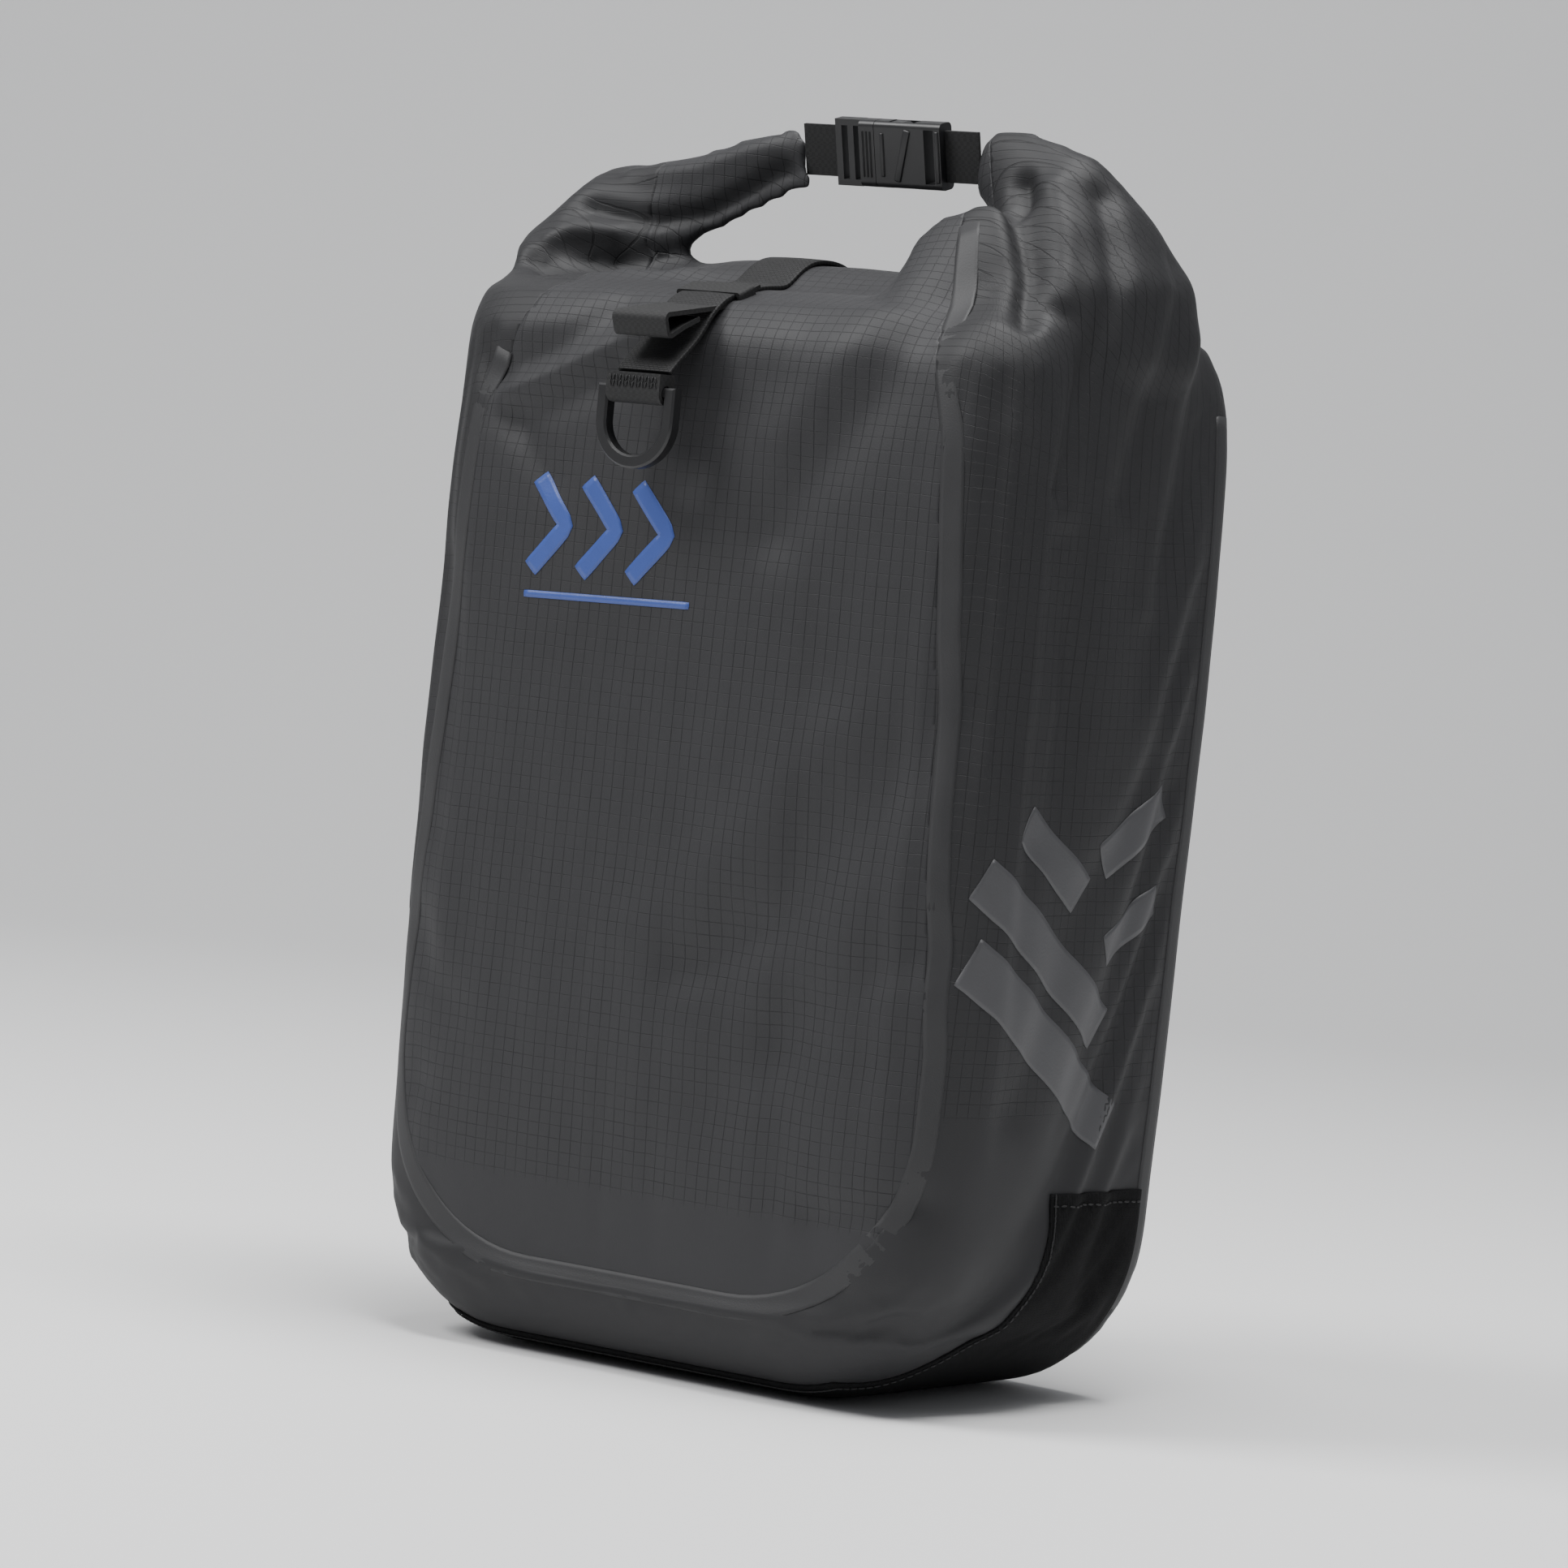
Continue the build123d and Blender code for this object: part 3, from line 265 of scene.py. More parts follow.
tubes = [
    # left end of the roll, from inside the shoulder round its hairpin and up to the buckle
    tube_object(
        "left_end",
        [
            ((-0.096, 0.012, 0.385), (0, 1, 0), 0.052, 0.037, (-0.3, 0, 1)),
            ((-0.115, 0.012, 0.410), (0, 1, 0.05), 0.053, 0.030, (-0.2, 0, 1)),
            ((-0.124, 0.010, 0.429), (0.05, 1, 0.2), 0.045, 0.026, (0.3, 0, 1)),
            ((-0.116, 0.006, 0.443), (0.1, 0.8, 0.6), 0.031, 0.019, (1, 0, 0.6)),
            ((-0.088, 0.002, 0.4475), (-0.2, 0.3, 1), 0.021, 0.011, (1, 0, 0.25)),
            ((-0.062, 0.000, 0.4555), (-0.32, 0.1, 1), 0.0175, 0.0068, (1, 0, 0.35)),
            ((-0.040, 0.000, 0.4635), (-0.38, 0.0, 1), 0.0150, 0.0050, (1, 0, 0.4)),
            ((-0.020, 0.000, 0.4700), (-0.30, 0.0, 1), 0.0125, 0.0036, (1, 0, 0.3)),
        ],
    ),
    # right end, broader because the rear gusset is gathered into it
    tube_object(
        "right_end",
        [
            ((0.090, 0.010, 0.380), (0, 1, 0), 0.058, 0.046, (0.3, 0, 1)),
            ((0.106, 0.008, 0.405), (0.1, 1, 0), 0.055, 0.041, (0.1, 0, 1)),
            ((0.111, 0.004, 0.425), (0.3, 1, 0.1), 0.045, 0.035, (-0.1, 0, 1)),
            ((0.104, 0.000, 0.442), (0.6, 0.8, 0.3), 0.034, 0.026, (-0.5, 0, 1)),
            ((0.095, -0.002, 0.457), (0.8, 0.3, 0.8), 0.026, 0.016, (-1, 0, 0.9)),
            ((0.077, -0.001, 0.468), (0.55, 0.1, 1), 0.019, 0.009, (-1, 0, 0.5)),
            ((0.060, 0.000, 0.4738), (0.2, 0.0, 1), 0.0140, 0.0046, (-1, 0, 0.25)),
        ],
    ),
    # the front fold that stands up beside the right end
    tube_object(
        "right_fold",
        [
            ((0.092, -0.060, 0.370), (1, 0, 0), 0.046, 0.018, (0, 0.1, 1)),
            ((0.088, -0.050, 0.400), (1, 0, 0), 0.038, 0.014, (0, 0.2, 1)),
            ((0.082, -0.038, 0.425), (1, 0, 0.05), 0.030, 0.009, (0, 0.3, 1)),
            ((0.076, -0.031, 0.444), (1, 0, 0.28), 0.024, 0.005, (0, 0.2, 1)),
            ((0.075, -0.028, 0.452), (1, 0, 0.36), 0.021, 0.003, (0, 0.1, 1)),
        ],
    ),
    # the front fold at the left, in front of the pocket
    tube_object(
        "left_fold",
        [
            ((-0.1400, -0.042, 0.392), (0, 0.5, 1), 0.022, 0.0060, (1, 0, 0)),
            ((-0.118, -0.048, 0.398), (0, 0.45, 1), 0.020, 0.006, (1, 0, 0)),
            ((-0.095, -0.048, 0.402), (0, 0.5, 1), 0.020, 0.006, (1, 0.1, 0)),
            ((-0.075, -0.040, 0.408), (0, 0.6, 1), 0.020, 0.0055, (1, 0.3, 0)),
            ((-0.058, -0.031, 0.411), (0, 0.6, 1), 0.018, 0.0055, (1, 0.2, -0.2)),
            ((-0.038, -0.027, 0.406), (0, 0.7, 1), 0.017, 0.006, (1, 0.1, -0.1)),
            ((-0.012, -0.024, 0.402), (0, 0.8, 1), 0.014, 0.008, (1, 0, 0)),
        ],
    ),
    # the roll between its two ends
    tube_object(
        "roll_core",
        [
            ((-0.100, 0.004, 0.410), (0, 1, 0), 0.021, 0.011, (1, 0, 0)),
            ((-0.040, 0.000, 0.4175), (0, 1, 0), 0.022, 0.0108, (1, 0, 0)),
            ((0.010, -0.001, 0.4180), (0, 1, 0), 0.022, 0.0105, (1, 0, 0)),
            ((0.060, 0.000, 0.4175), (0, 1, 0), 0.022, 0.0108, (1, 0, 0)),
            ((0.100, 0.004, 0.412), (0, 1, 0), 0.021, 0.011, (1, 0, 0)),
        ],
    ),
]
bm = bmesh.new()
for part in [packed, *tubes]:
    bm.from_mesh(part.data)
    bpy.data.objects.remove(part)
packed = new_object("fabric_shell", bm)
remesh = packed.modifiers.new("remesh", "REMESH")
remesh.mode = "VOXEL"
remesh.voxel_size = 0.0044


def apply_modifiers(piece):
    """Bakes a piece's modifiers into its mesh."""
    graph = bpy.context.evaluated_depsgraph_get()
    baked = bpy.data.meshes.new_from_object(piece.evaluated_get(graph))
    baked.shade_smooth()
    piece.modifiers.clear()
    piece.data = baked


def thicken(piece, thickness):
    """Gives a cloth its thickness, inwards from its outer face."""
    wall = piece.modifiers.new("thickness", "SOLIDIFY")
    wall.thickness = thickness
    wall.offset = -1


apply_modifiers(packed)

shaped = packed.data
for v in shaped.vertices:
    v.co.x *= foot_share(v.co.z)
relax = packed.modifiers.new("relax", "SMOOTH")
relax.iterations = 7
relax.factor = 0.5
apply_modifiers(packed)


def weave_coordinates(p):
    """Metres along the cloth, across and up each panel, before it is blown up."""
    inset = HALF_WIDTH * foot_share(p.z) - abs(p.x)
    lift = p.z + max(0.0, p.y - FRONT) * smoothstep(0.34, 0.40, p.z)
    run = lift if p.z > CORNER else p.z
    if p.z < CORNER:
        side = max(0.0, CORNER - inset)
        drop = CORNER - p.z
        reach = math.hypot(side, drop)
        if inset < CORNER:
            inset = CORNER - reach
            run = CORNER - CORNER * math.atan2(drop, side)
        else:
            inset = p.z - BASE
            run = CORNER - CORNER * math.pi / 2 - (HALF_WIDTH - CORNER - abs(p.x))
    start = FRONT + FRONT_ROUND
    if p.y < start:
        turn = math.atan2(start - p.y, max(0.0005, FRONT_ROUND - inset))
        return p.x, p.z, start - FRONT_ROUND * turn, run, lift
    return p.x, p.z, p.y, run, lift


def seam_half(z):
    """Half the front panel's width at a height: it narrows to the roll."""
    return SEAM_HALF - 0.064 * max(0.0, z - 0.14) - 0.30 * max(0.0, z - 0.365)


def seam_distance(p):
    """How far a point lies outside the front panel's seam, seen from the front."""
    half = seam_half(p.z)
    across = max(0.0, abs(p.x) - half + SEAM_CORNER)
    down = max(0.0, SEAM_LOW + SEAM_CORNER - p.z)
    if down == 0.0:
        return abs(p.x) - half
    return math.hypot(across, down) - SEAM_CORNER


# coordinates along the cloth are kept from the shape before it is filled
for name, pick in (("weave_front", (0, 4)), ("weave_side", (2, 3))):
    layer = packed.data.attributes.new(name, "FLOAT_VECTOR", "POINT")
    for v, value in zip(packed.data.vertices, layer.data):
        flat = weave_coordinates(v.co)
        value.vector = (flat[pick[0]], flat[pick[1]], 0)


def seam_side(p):
    """Above nought outside the front panel."""
    return max(seam_distance(p), p.y)


def flange_side(p):
    """Above nought on the back panel, which also takes in the back of the roll."""
    return max(p.y - (BACK - FLANGE), min(-seam_distance(p), p.y, p.z - 0.36))


def horn_side(p):
    """Above nought on the roll's left end, where it leaves the shell."""
    return min(p.x + 0.088, p.z - 0.4285, 0.020 - p.x)


for name, side_of in (("seam", seam_side), ("flange", flange_side), ("horn", horn_side)):
    layer = packed.data.attributes.new(name, "FLOAT", "POINT")
    for v, value in zip(packed.data.vertices, layer.data):
        value.value = side_of(v.co)

# filling: air pushes the cloth out between the stiff back and the roll, with a little cloth to
# spare, and the push is limited so that the bag stays in its measured size
MOST_PUSH = 0.0052
before = [v.co.copy() for v in packed.data.vertices]
pins = packed.vertex_groups.new(name="pins")
for v in packed.data.vertices:
    hold = max(
        smoothstep(0.375, 0.415, v.co.z),
        smoothstep(BACK - 0.028, BACK - 0.008, v.co.y),
        0.7 * (1 - smoothstep(0.0, 0.05, v.co.z)),
    )
    pins.add([v.index], hold, "REPLACE")
cloth = packed.modifiers.new("fabric", "CLOTH")
cloth.settings.quality = 5
cloth.settings.mass = 0.25
cloth.settings.tension_stiffness = 25
cloth.settings.compression_stiffness = 8
cloth.settings.shear_stiffness = 12
cloth.settings.bending_stiffness = 0.4
cloth.settings.air_damping = 4
cloth.settings.shrink_min = -0.016
cloth.settings.use_pressure = True
cloth.settings.uniform_pressure_force = 3.0
cloth.settings.vertex_group_mass = "pins"
cloth.settings.pin_stiffness = 4
cloth.collision_settings.use_collision = False
FRAMES = 36
cloth.point_cache.frame_start = 1
cloth.point_cache.frame_end = FRAMES
scene = bpy.context.scene
for step in range(1, FRAMES + 1):
    scene.frame_set(step)
apply_modifiers(packed)
scene.frame_set(1)
for v, start in zip(packed.data.vertices, before):
    push = v.co - start
    if push.length > 1e-6:
        most = MOST_PUSH * (0.35 + 0.65 * smoothstep(0.0, 0.07, start.z))
        v.co = start + push * (most * math.tanh(push.length / most) / push.length)

finer = packed.modifiers.new("finer", "SUBSURF")
finer.levels = finer.render_levels = 1
apply_modifiers(packed)


def off_line(p, line):
    """Distance in XZ from a point to a line of (x, z) corners."""
    best = 1.0
    for (ax, az), (bx, bz) in zip(line, line[1:]):
        dx, dz = bx - ax, bz - az
        t = min(1.0, max(0.0, ((p.x - ax) * dx + (p.z - az) * dz) / (dx * dx + dz * dz)))
        best = min(best, math.hypot(p.x - ax - t * dx, p.z - az - t * dz))
    return best


# soft folds and pulls in the front panel: height, half width, and the line that each follows
FOLDS = (
    (-0.0034, 0.013, ((0.096, 0.419), (0.088, 0.400), (0.070, 0.373), (0.052, 0.348), (0.038, 0.326))),
    (0.0020, 0.012, ((0.068, 0.418), (0.062, 0.396), (0.036, 0.358))),
    (0.0014, 0.010, ((0.112, 0.418), (0.112, 0.364))),
    (0.0030, 0.0055, ((-0.098, 0.367), (-0.072, 0.3765), (-0.041, 0.392), (-0.020, 0.406))),
    (-0.0030, 0.0075, ((-0.104, 0.377), (-0.076, 0.387), (-0.052, 0.400))),
    (-0.0022, 0.008, ((-0.088, 0.358), (-0.045, 0.378))),
    (-0.0020, 0.007, ((-0.113, 0.383), (-0.098, 0.361), (-0.070, 0.337))),
    (-0.0030, 0.013, ((0.118, 0.178), (0.078, 0.152), (0.058, 0.138))),
    (-0.0022, 0.014, ((0.110, 0.138), (0.058, 0.126), (0.030, 0.108))),
    (-0.0022, 0.008, ((0.081, 0.072), (0.125, 0.082))),
    (-0.0020, 0.011, ((0.046, 0.176), (0.014, 0.158))),
    (-0.0030, 0.017, ((0.116, 0.266), (0.076, 0.208), (0.028, 0.158))),
    (0.0018, 0.014, ((0.070, 0.250), (0.028, 0.200), (-0.010, 0.170))),
    (-0.0018, 0.012, ((-0.125, 0.300), (-0.108, 0.250), (-0.112, 0.200))),
    (-0.0016, 0.010, ((-0.120, 0.160), (-0.100, 0.130), (-0.108, 0.100))),
)
# deeper folds where the cloth is gathered into the two ends of the roll, as lines in space
GATHERS = (
    (
        -0.0046, 0.0050,
        ((-0.112, -0.020, 0.450), (-0.092, -0.018, 0.440), (-0.062, -0.015, 0.442), (-0.026, -0.012, 0.463)),
    ),
    (
        -0.0040, 0.0045,
        ((-0.128, -0.040, 0.430), (-0.108, -0.034, 0.434), (-0.090, -0.028, 0.430), (-0.066, -0.026, 0.432)),
    ),
    (0.0026, 0.0040, ((-0.120, -0.036, 0.438), (-0.098, -0.028, 0.440), (-0.080, -0.024, 0.434))),
    (0.0020, 0.0050, ((-0.104, 0.000, 0.458), (-0.070, -0.004, 0.462), (-0.036, -0.006, 0.474))),
    (
        -0.0052, 0.0050,
        ((0.088, -0.020, 0.466), (0.099, -0.028, 0.449), (0.114, -0.040, 0.432), (0.122, -0.052, 0.412)),
    ),
    (0.0026, 0.0060, ((0.104, -0.014, 0.462), (0.118, -0.026, 0.445), (0.130, -0.040, 0.424))),
    (
        -0.0030, 0.0060,
        ((0.118, -0.004, 0.458), (0.136, -0.016, 0.430), (0.142, -0.030, 0.395), (0.142, -0.040, 0.350)),
    ),
    (-0.0028, 0.0080, ((0.136, 0.020, 0.436), (0.146, 0.012, 0.400), (0.144, 0.000, 0.350))),
    (0.0020, 0.0080, ((0.146, 0.034, 0.410), (0.146, 0.026, 0.360), (0.142, 0.020, 0.310))),
    (-0.0024, 0.0100, ((0.140, -0.034, 0.330), (0.140, -0.020, 0.270), (0.139, -0.030, 0.220))),
    (-0.0020, 0.0100, ((0.139, 0.040, 0.250), (0.138, 0.000, 0.200), (0.137, -0.030, 0.120))),
)


def off_path(p, path):
    """Distance in space from a point to a line of corners."""
    best = 1.0
    for one, other in zip(path, path[1:]):
        along = other - one
        t = min(1.0, max(0.0, (p - one).dot(along) / max(along.length_squared, 1e-12)))
        best = min(best, (p - one - along * t).length)
    return best


filled = bmesh.new()
filled.from_mesh(packed.data)
filled_tree = BVHTree.FromBMesh(filled)
filled.free()


def laid_on(corners):
    """The gather's line laid on the filled cloth, in short steps."""
    line = []
    for one, other in zip(corners, corners[1:]):
        for step in range(5):
            line.append(filled_tree.find_nearest(Vector(one).lerp(Vector(other), step / 5))[0])
    line.append(filled_tree.find_nearest(Vector(corners[-1]))[0])
    return line


gathers = [(height, spread, laid_on(corners)) for height, spread, corners in GATHERS]
moved = []
for v in packed.data.vertices:
    p = v.co
    face_on = smoothstep(0.15, 0.8, -v.normal.y)
    belly = max(0.0, 1 - (p.x / 0.128) ** 2) * smoothstep(0.01, 0.16, p.z)
    push = 0.0055 * face_on * belly * (1 - smoothstep(0.385, 0.425, p.z))
    if face_on > 0.0:
        for height, spread, line in FOLDS:
            d = off_line(p, line)
            if d < 3 * spread:
                push += height * math.exp(-((d / spread) ** 2)) * face_on
    for height, spread, line in gathers:
        if abs(p.x - line[len(line) // 2].x) < 0.07:
            d = off_path(p, line)
            if d < 3 * spread:
                push += height * math.exp(-((d / spread) ** 2))
    loose = smoothstep(0.004, 0.05, p.z) * (1 - 0.6 * smoothstep(BACK - 0.03, BACK, p.y))
    push += 0.0018 * loose * noise.noise(Vector((p.x * 15, p.y * 15, p.z * 9)) + Vector((3, 5, 1)))
    push += 0.0006 * loose * noise.noise(Vector((p.x * 42, p.y * 42, p.z * 30)))
    moved.append(p + v.normal * push)
for v, place in zip(packed.data.vertices, moved):
    v.co = place


def cut_along(bm, name):
    """Cuts the mesh where the named vertex value is nought."""
    layer = bm.verts.layers.float[name]
    fresh = []
    for edge in list(bm.edges):
        one, other = edge.verts
        if one[layer] * other[layer] < 0:
            made = bmesh.utils.edge_split(edge, one, one[layer] / (one[layer] - other[layer]))[1]
            made[layer] = 0.0
            fresh.append(made)
    bmesh.ops.connect_verts(bm, verts=fresh)


whole = bmesh.new()
whole.from_mesh(packed.data)
shell_tree = BVHTree.FromBMesh(whole)
for name in ("seam", "flange", "horn"):
    cut_along(whole, name)
panels = {}
for name in ("front_cloth", "side_cloth", "back_cloth", "horn_cloth"):
    bm = whole.copy()
    drop = []
    layers = bm.verts.layers.float
    seam_layer, flange_layer, horn_layer = layers["seam"], layers["flange"], layers["horn"]
    for face in bm.faces:
        home = "side_cloth"
        if sum(v[seam_layer] for v in face.verts) < 0:
            home = "front_cloth"
        if sum(v[flange_layer] for v in face.verts) > 0:
            home = "back_cloth"
        if sum(v[horn_layer] for v in face.verts) > 0:
            home = "horn_cloth"
        if home != name:
            drop.append(face)
    bmesh.ops.delete(bm, geom=drop, context="FACES")
    panels[name] = new_object(name, bm)
whole.free()
bpy.data.objects.remove(packed)


# ---- Fabric ----
# Polyester with a polyurethane coat. Thicker threads make five-millimetre ripstop squares, and
# the coat's grain breaks up the light. The lowest band and the side's foot are smooth tarpaulin.
def attribute_vector(nodes, name):
    reader = nodes.new("ShaderNodeAttribute")
    reader.attribute_name = name
    return reader.outputs["Vector"]


def shade(colour, share):
    return tuple(c * share for c in colour)


def add_noise(nodes, links, place, scale, detail=2.0):
    """A noise texture read at a place."""
    texture = nodes.new("ShaderNodeTexNoise")
    texture.inputs["Scale"].default_value = scale
    texture.inputs["Detail"].default_value = detail
    links.new(place, texture.inputs["Vector"])
    return texture.outputs["Fac"]


def add_range(nodes, links, value, to_min, to_max, from_min=0.0, from_max=1.0):
    """A value carried over, and held, from one range to another."""
    carried = nodes.new("ShaderNodeMapRange")
    carried.inputs["From Min"].default_value = from_min
    carried.inputs["From Max"].default_value = from_max
    carried.inputs["To Min"].default_value = to_min
    carried.inputs["To Max"].default_value = to_max
    links.new(value, carried.inputs["Value"])
    return carried.outputs[0]


def add_product(nodes, links, one, other):
    times = nodes.new("ShaderNodeMath")
    times.operation = "MULTIPLY"
    links.new(one, times.inputs[0])
    links.new(other, times.inputs[1])
    return times.outputs[0]


def add_bump(nodes, links, shader, height, strength, distance):
    """Feeds a height into the shader's normal, after any bump already there."""
    bump = nodes.new("ShaderNodeBump")
    bump.inputs["Strength"].default_value = strength
    bump.inputs["Distance"].default_value = distance
    links.new(height, bump.inputs["Height"])
    if shader.inputs["Normal"].is_linked:
        links.new(shader.inputs["Normal"].links[0].from_socket, bump.inputs["Normal"])
    links.new(bump.outputs["Normal"], shader.inputs["Normal"])


def ripstop_material(name, colour, layer, smooth_below):
    material, shader, nodes, links = node_material(name, 0.6)
    shader.inputs["Specular IOR Level"].default_value = 0.32
    place = attribute_vector(nodes, layer)
    grid = nodes.new("ShaderNodeTexBrick")
    grid.offset = 0.0
    grid.inputs["Scale"].default_value = 200.0
    grid.inputs["Brick Width"].default_value = 1.0
    grid.inputs["Row Height"].default_value = 1.0
    grid.inputs["Mortar Size"].default_value = 0.045
    grid.inputs["Mortar Smooth"].default_value = 0.6
    links.new(place, grid.inputs["Vector"])
    up = nodes.new("ShaderNodeSeparateXYZ")
    links.new(place, up.inputs[0])
    above = add_range(nodes, links, up.outputs["Y"], 0.0, 1.0, smooth_below, smooth_below + 0.004)
    worn = add_noise(nodes, links, place, 70.0)
    faint = add_range(nodes, links, worn, 0.55, 1.0, 0.35, 0.70)
    lines = add_product(nodes, links, grid.outputs["Fac"], above)
    shown = add_product(nodes, links, lines, faint)
    cloudy = add_noise(nodes, links, place, 26.0, 5.0)
    tone = add_mix(nodes, links, cloudy, shade(colour, 0.90), shade(colour, 1.10))
    dark = nodes.new("ShaderNodeMixRGB")
    dark.blend_type = "MULTIPLY"
    dark.inputs[2].default_value = (0.30, 0.30, 0.32, 1)
    links.new(shown, dark.inputs[0])
    links.new(tone, dark.inputs[1])
    links.new(dark.outputs[0], shader.inputs["Base Color"])
    links.new(add_range(nodes, links, cloudy, 0.50, 0.68), shader.inputs["Roughness"])
    grain = add_noise(nodes, links, place, 1400.0)
    add_bump(nodes, links, shader, grain, 0.25, 0.0003)
    add_bump(nodes, links, shader, lines, 0.5, -0.0003)
    return material


# the side cloth's grey is the front's grey made darker: painted shade for the side that faces away from the
# key light
GREY = (0.028, 0.028, 0.0300)
SIDE_GREY_PAINTED_SHADE = (0.021, 0.021, 0.0225)
back_ripstop = ripstop_material("back_ripstop", GREY, "weave_front", 0.020)
CLOTHS = {
    "front_cloth": ("shell_front", ripstop_material("front_ripstop", GREY, "weave_front", 0.072)),
    "side_cloth": ("shell_side", ripstop_material("side_ripstop", SIDE_GREY_PAINTED_SHADE, "weave_side", 0.118)),
    "back_cloth": ("shell_back", back_ripstop),
    "horn_cloth": ("shell_back", back_ripstop),
}
for name, piece in panels.items():
    slot, material = CLOTHS[name]
    piece.data.materials.append(material)
    thicken(piece, 0.0009)
    apply_modifiers(piece)
    if name == "horn_cloth":
        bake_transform(piece, "closure", "male_half", start=(-0.088, 0, 0.45), end=(-0.040, 0, 0.45))
    else:
        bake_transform(piece, "bag_body", "closure", start=(0, 0, 0.36), end=(0, 0, 0.43))
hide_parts("front_panel", "collar_front")
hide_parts("gusset", "collar_left", "collar_right", "roll_end_right")
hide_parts("roll_end_left")
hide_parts("back_panel", "collar_back", "roll_centre")


# ---- Welded seams ----
# Flat welded bands where the panels meet: one round the front panel and up onto the folds, and
# a narrower one along the back panel's flange. Each lies on the filled shell.
def touch(start, direction):
    """Where a ray first meets the shell, and the shell's normal there."""
    place, normal, _, _ = shell_tree.ray_cast(Vector(start), Vector(direction))
    if place is None:
        place, normal, _, _ = shell_tree.find_nearest(Vector(start))
    return place, normal


def strip_on_shell(name, path, offsets, lift, thick, reach=0.012):
    """A strip of cloth along a path of (point, normal) on the shell, between side offsets."""
    bm = bmesh.new()
    count, rows = len(path) - 1, len(offsets) - 1
    bmesh.ops.create_grid(bm, x_segments=count, y_segments=rows, size=1.0)
    layer = bm.verts.layers.float_vector.new("weave")
    places = {}
    for v in bm.verts:
        i = round((v.co.x + 1) / 2 * count)
        j = round((v.co.y + 1) / 2 * rows)
        point, normal = path[i]
        ahead = path[min(count, i + 1)][0] - path[max(0, i - 1)][0]
        aside = normal.cross(ahead).normalized()
        side = offsets[j]
        near, out, _, _ = shell_tree.find_nearest(point + aside * side, reach + abs(side))
        if near is None:
            near, out = point + aside * side, normal
        places[v] = (near + out * lift, (side, i))
    run = [0.0]
    for (one, _), (other, _) in zip(path, path[1:]):
        run.append(run[-1] + (other - one).length)
    for v, (place, (side, i)) in places.items():
        v.co = place
        v[layer] = (side, run[i], 0)
    bmesh.ops.smooth_vert(
        bm, verts=bm.verts, factor=0.4, use_axis_x=True, use_axis_y=True, use_axis_z=True
    )
    bmesh.ops.recalc_face_normals(bm, faces=bm.faces)
    bm.faces.ensure_lookup_table()
    middle = bm.faces[len(bm.faces) // 2]
    _, out, _, _ = shell_tree.find_nearest(middle.calc_center_median())
    if middle.normal.dot(out) < 0:
        bmesh.ops.reverse_faces(bm, faces=bm.faces)
    piece = new_object(name, bm)
    thicken(piece, thick)
    apply_modifiers(piece)
    return piece


def finish_on_shell(piece, material):
    """Gives a strip its material and lets it follow the shell when the roll is lifted."""
    piece.data.materials.append(material)
    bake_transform(piece, "bag_body", "closure", start=(0, 0, 0.36), end=(0, 0, 0.43))


def plain_coat(name, colour, roughness, scale=1400.0):
    """Coated cloth or film with no ripstop squares: a little uneven, with the coat's grain."""
    material, shader, nodes, links = node_material(name, roughness)
    place = attribute_vector(nodes, "weave")
    cloudy = add_noise(nodes, links, place, 60.0, 4.0)
    tone = add_mix(nodes, links, cloudy, shade(colour, 0.85), shade(colour, 1.15))
    links.new(tone, shader.inputs["Base Color"])
    add_bump(nodes, links, shader, add_noise(nodes, links, place, scale), 0.3, 0.0003)
    return material


# the front band's route: down the left, round both bottom corners and up the right onto the fold
# the weld bands take the side cloth's darker grey, with its painted shade
weld_coat = plain_coat("weld_coat", SIDE_GREY_PAINTED_SHADE, 0.60)
LEFT_TOP = 0.384
RIGHT_TOP = 0.446
CORNER_TOP = SEAM_LOW + SEAM_CORNER
centre = SEAM_HALF - SEAM_CORNER
route = []
for step in range(46):
    z = LEFT_TOP - step * (LEFT_TOP - CORNER_TOP) / 46
    route.append((-seam_half(z), z))
for step in range(19):
    turn = math.pi * step / 36
    route.append((-centre - SEAM_CORNER * math.cos(turn), CORNER_TOP - SEAM_CORNER * math.sin(turn)))
for step in range(1, 20):
    route.append((-centre + 2 * centre * step / 20, SEAM_LOW))
for step in range(19):
    turn = math.pi / 2 - math.pi * step / 36
    route.append((centre + SEAM_CORNER * math.cos(turn), CORNER_TOP - SEAM_CORNER * math.sin(turn)))
for step in range(1, 53):
    z = CORNER_TOP + step * (RIGHT_TOP - CORNER_TOP) / 52
    route.append((seam_half(z), z))
path = [touch((x, -0.3, z), (0, 1, 0)) for x, z in route]
aside = path[60][1].cross(path[61][0] - path[59][0])
side_sign = 1 if aside.z < 0 else -1
bands = [side_sign * x for x in (-0.0012, 0.0008, 0.0028, 0.0048, 0.0068, 0.0085)]
front_weld = strip_on_shell("front_weld", path, bands, 0.00018, 0.0008)
finish_on_shell(front_weld, weld_coat)

for side, word in ((-1, "left"), (1, "right")):
    path = []
    for step in range(60):
        z = 0.036 + step * (0.385 - 0.036) / 59
        path.append(touch((side * 0.3, BACK - FLANGE, z), (-side, 0, 0)))
    bands = (-0.005, -0.0025, 0, 0.0025, 0.005)
    back_weld = strip_on_shell(f"back_weld_{word}", path, bands, 0.0003, 0.0009)
    finish_on_shell(back_weld, weld_coat)

# ---- Prints ----
# Plain chevrons with a thin bar below them on the front, in blue film, and slanted bars in a
# grey film that is only a little lighter than the cloth on both sides.
blue_film = plain_coat("blue_film", (0.040, 0.078, 0.300), 0.45, scale=900.0)
grey_film = plain_coat("grey_film", (0.058, 0.058, 0.062), 0.50, scale=900.0)


def straight(start, end, count):
    """Evenly spaced points between two points of a plane."""
    return [tuple(a + (b - a) * k / count for a, b in zip(start, end)) for k in range(count + 1)]


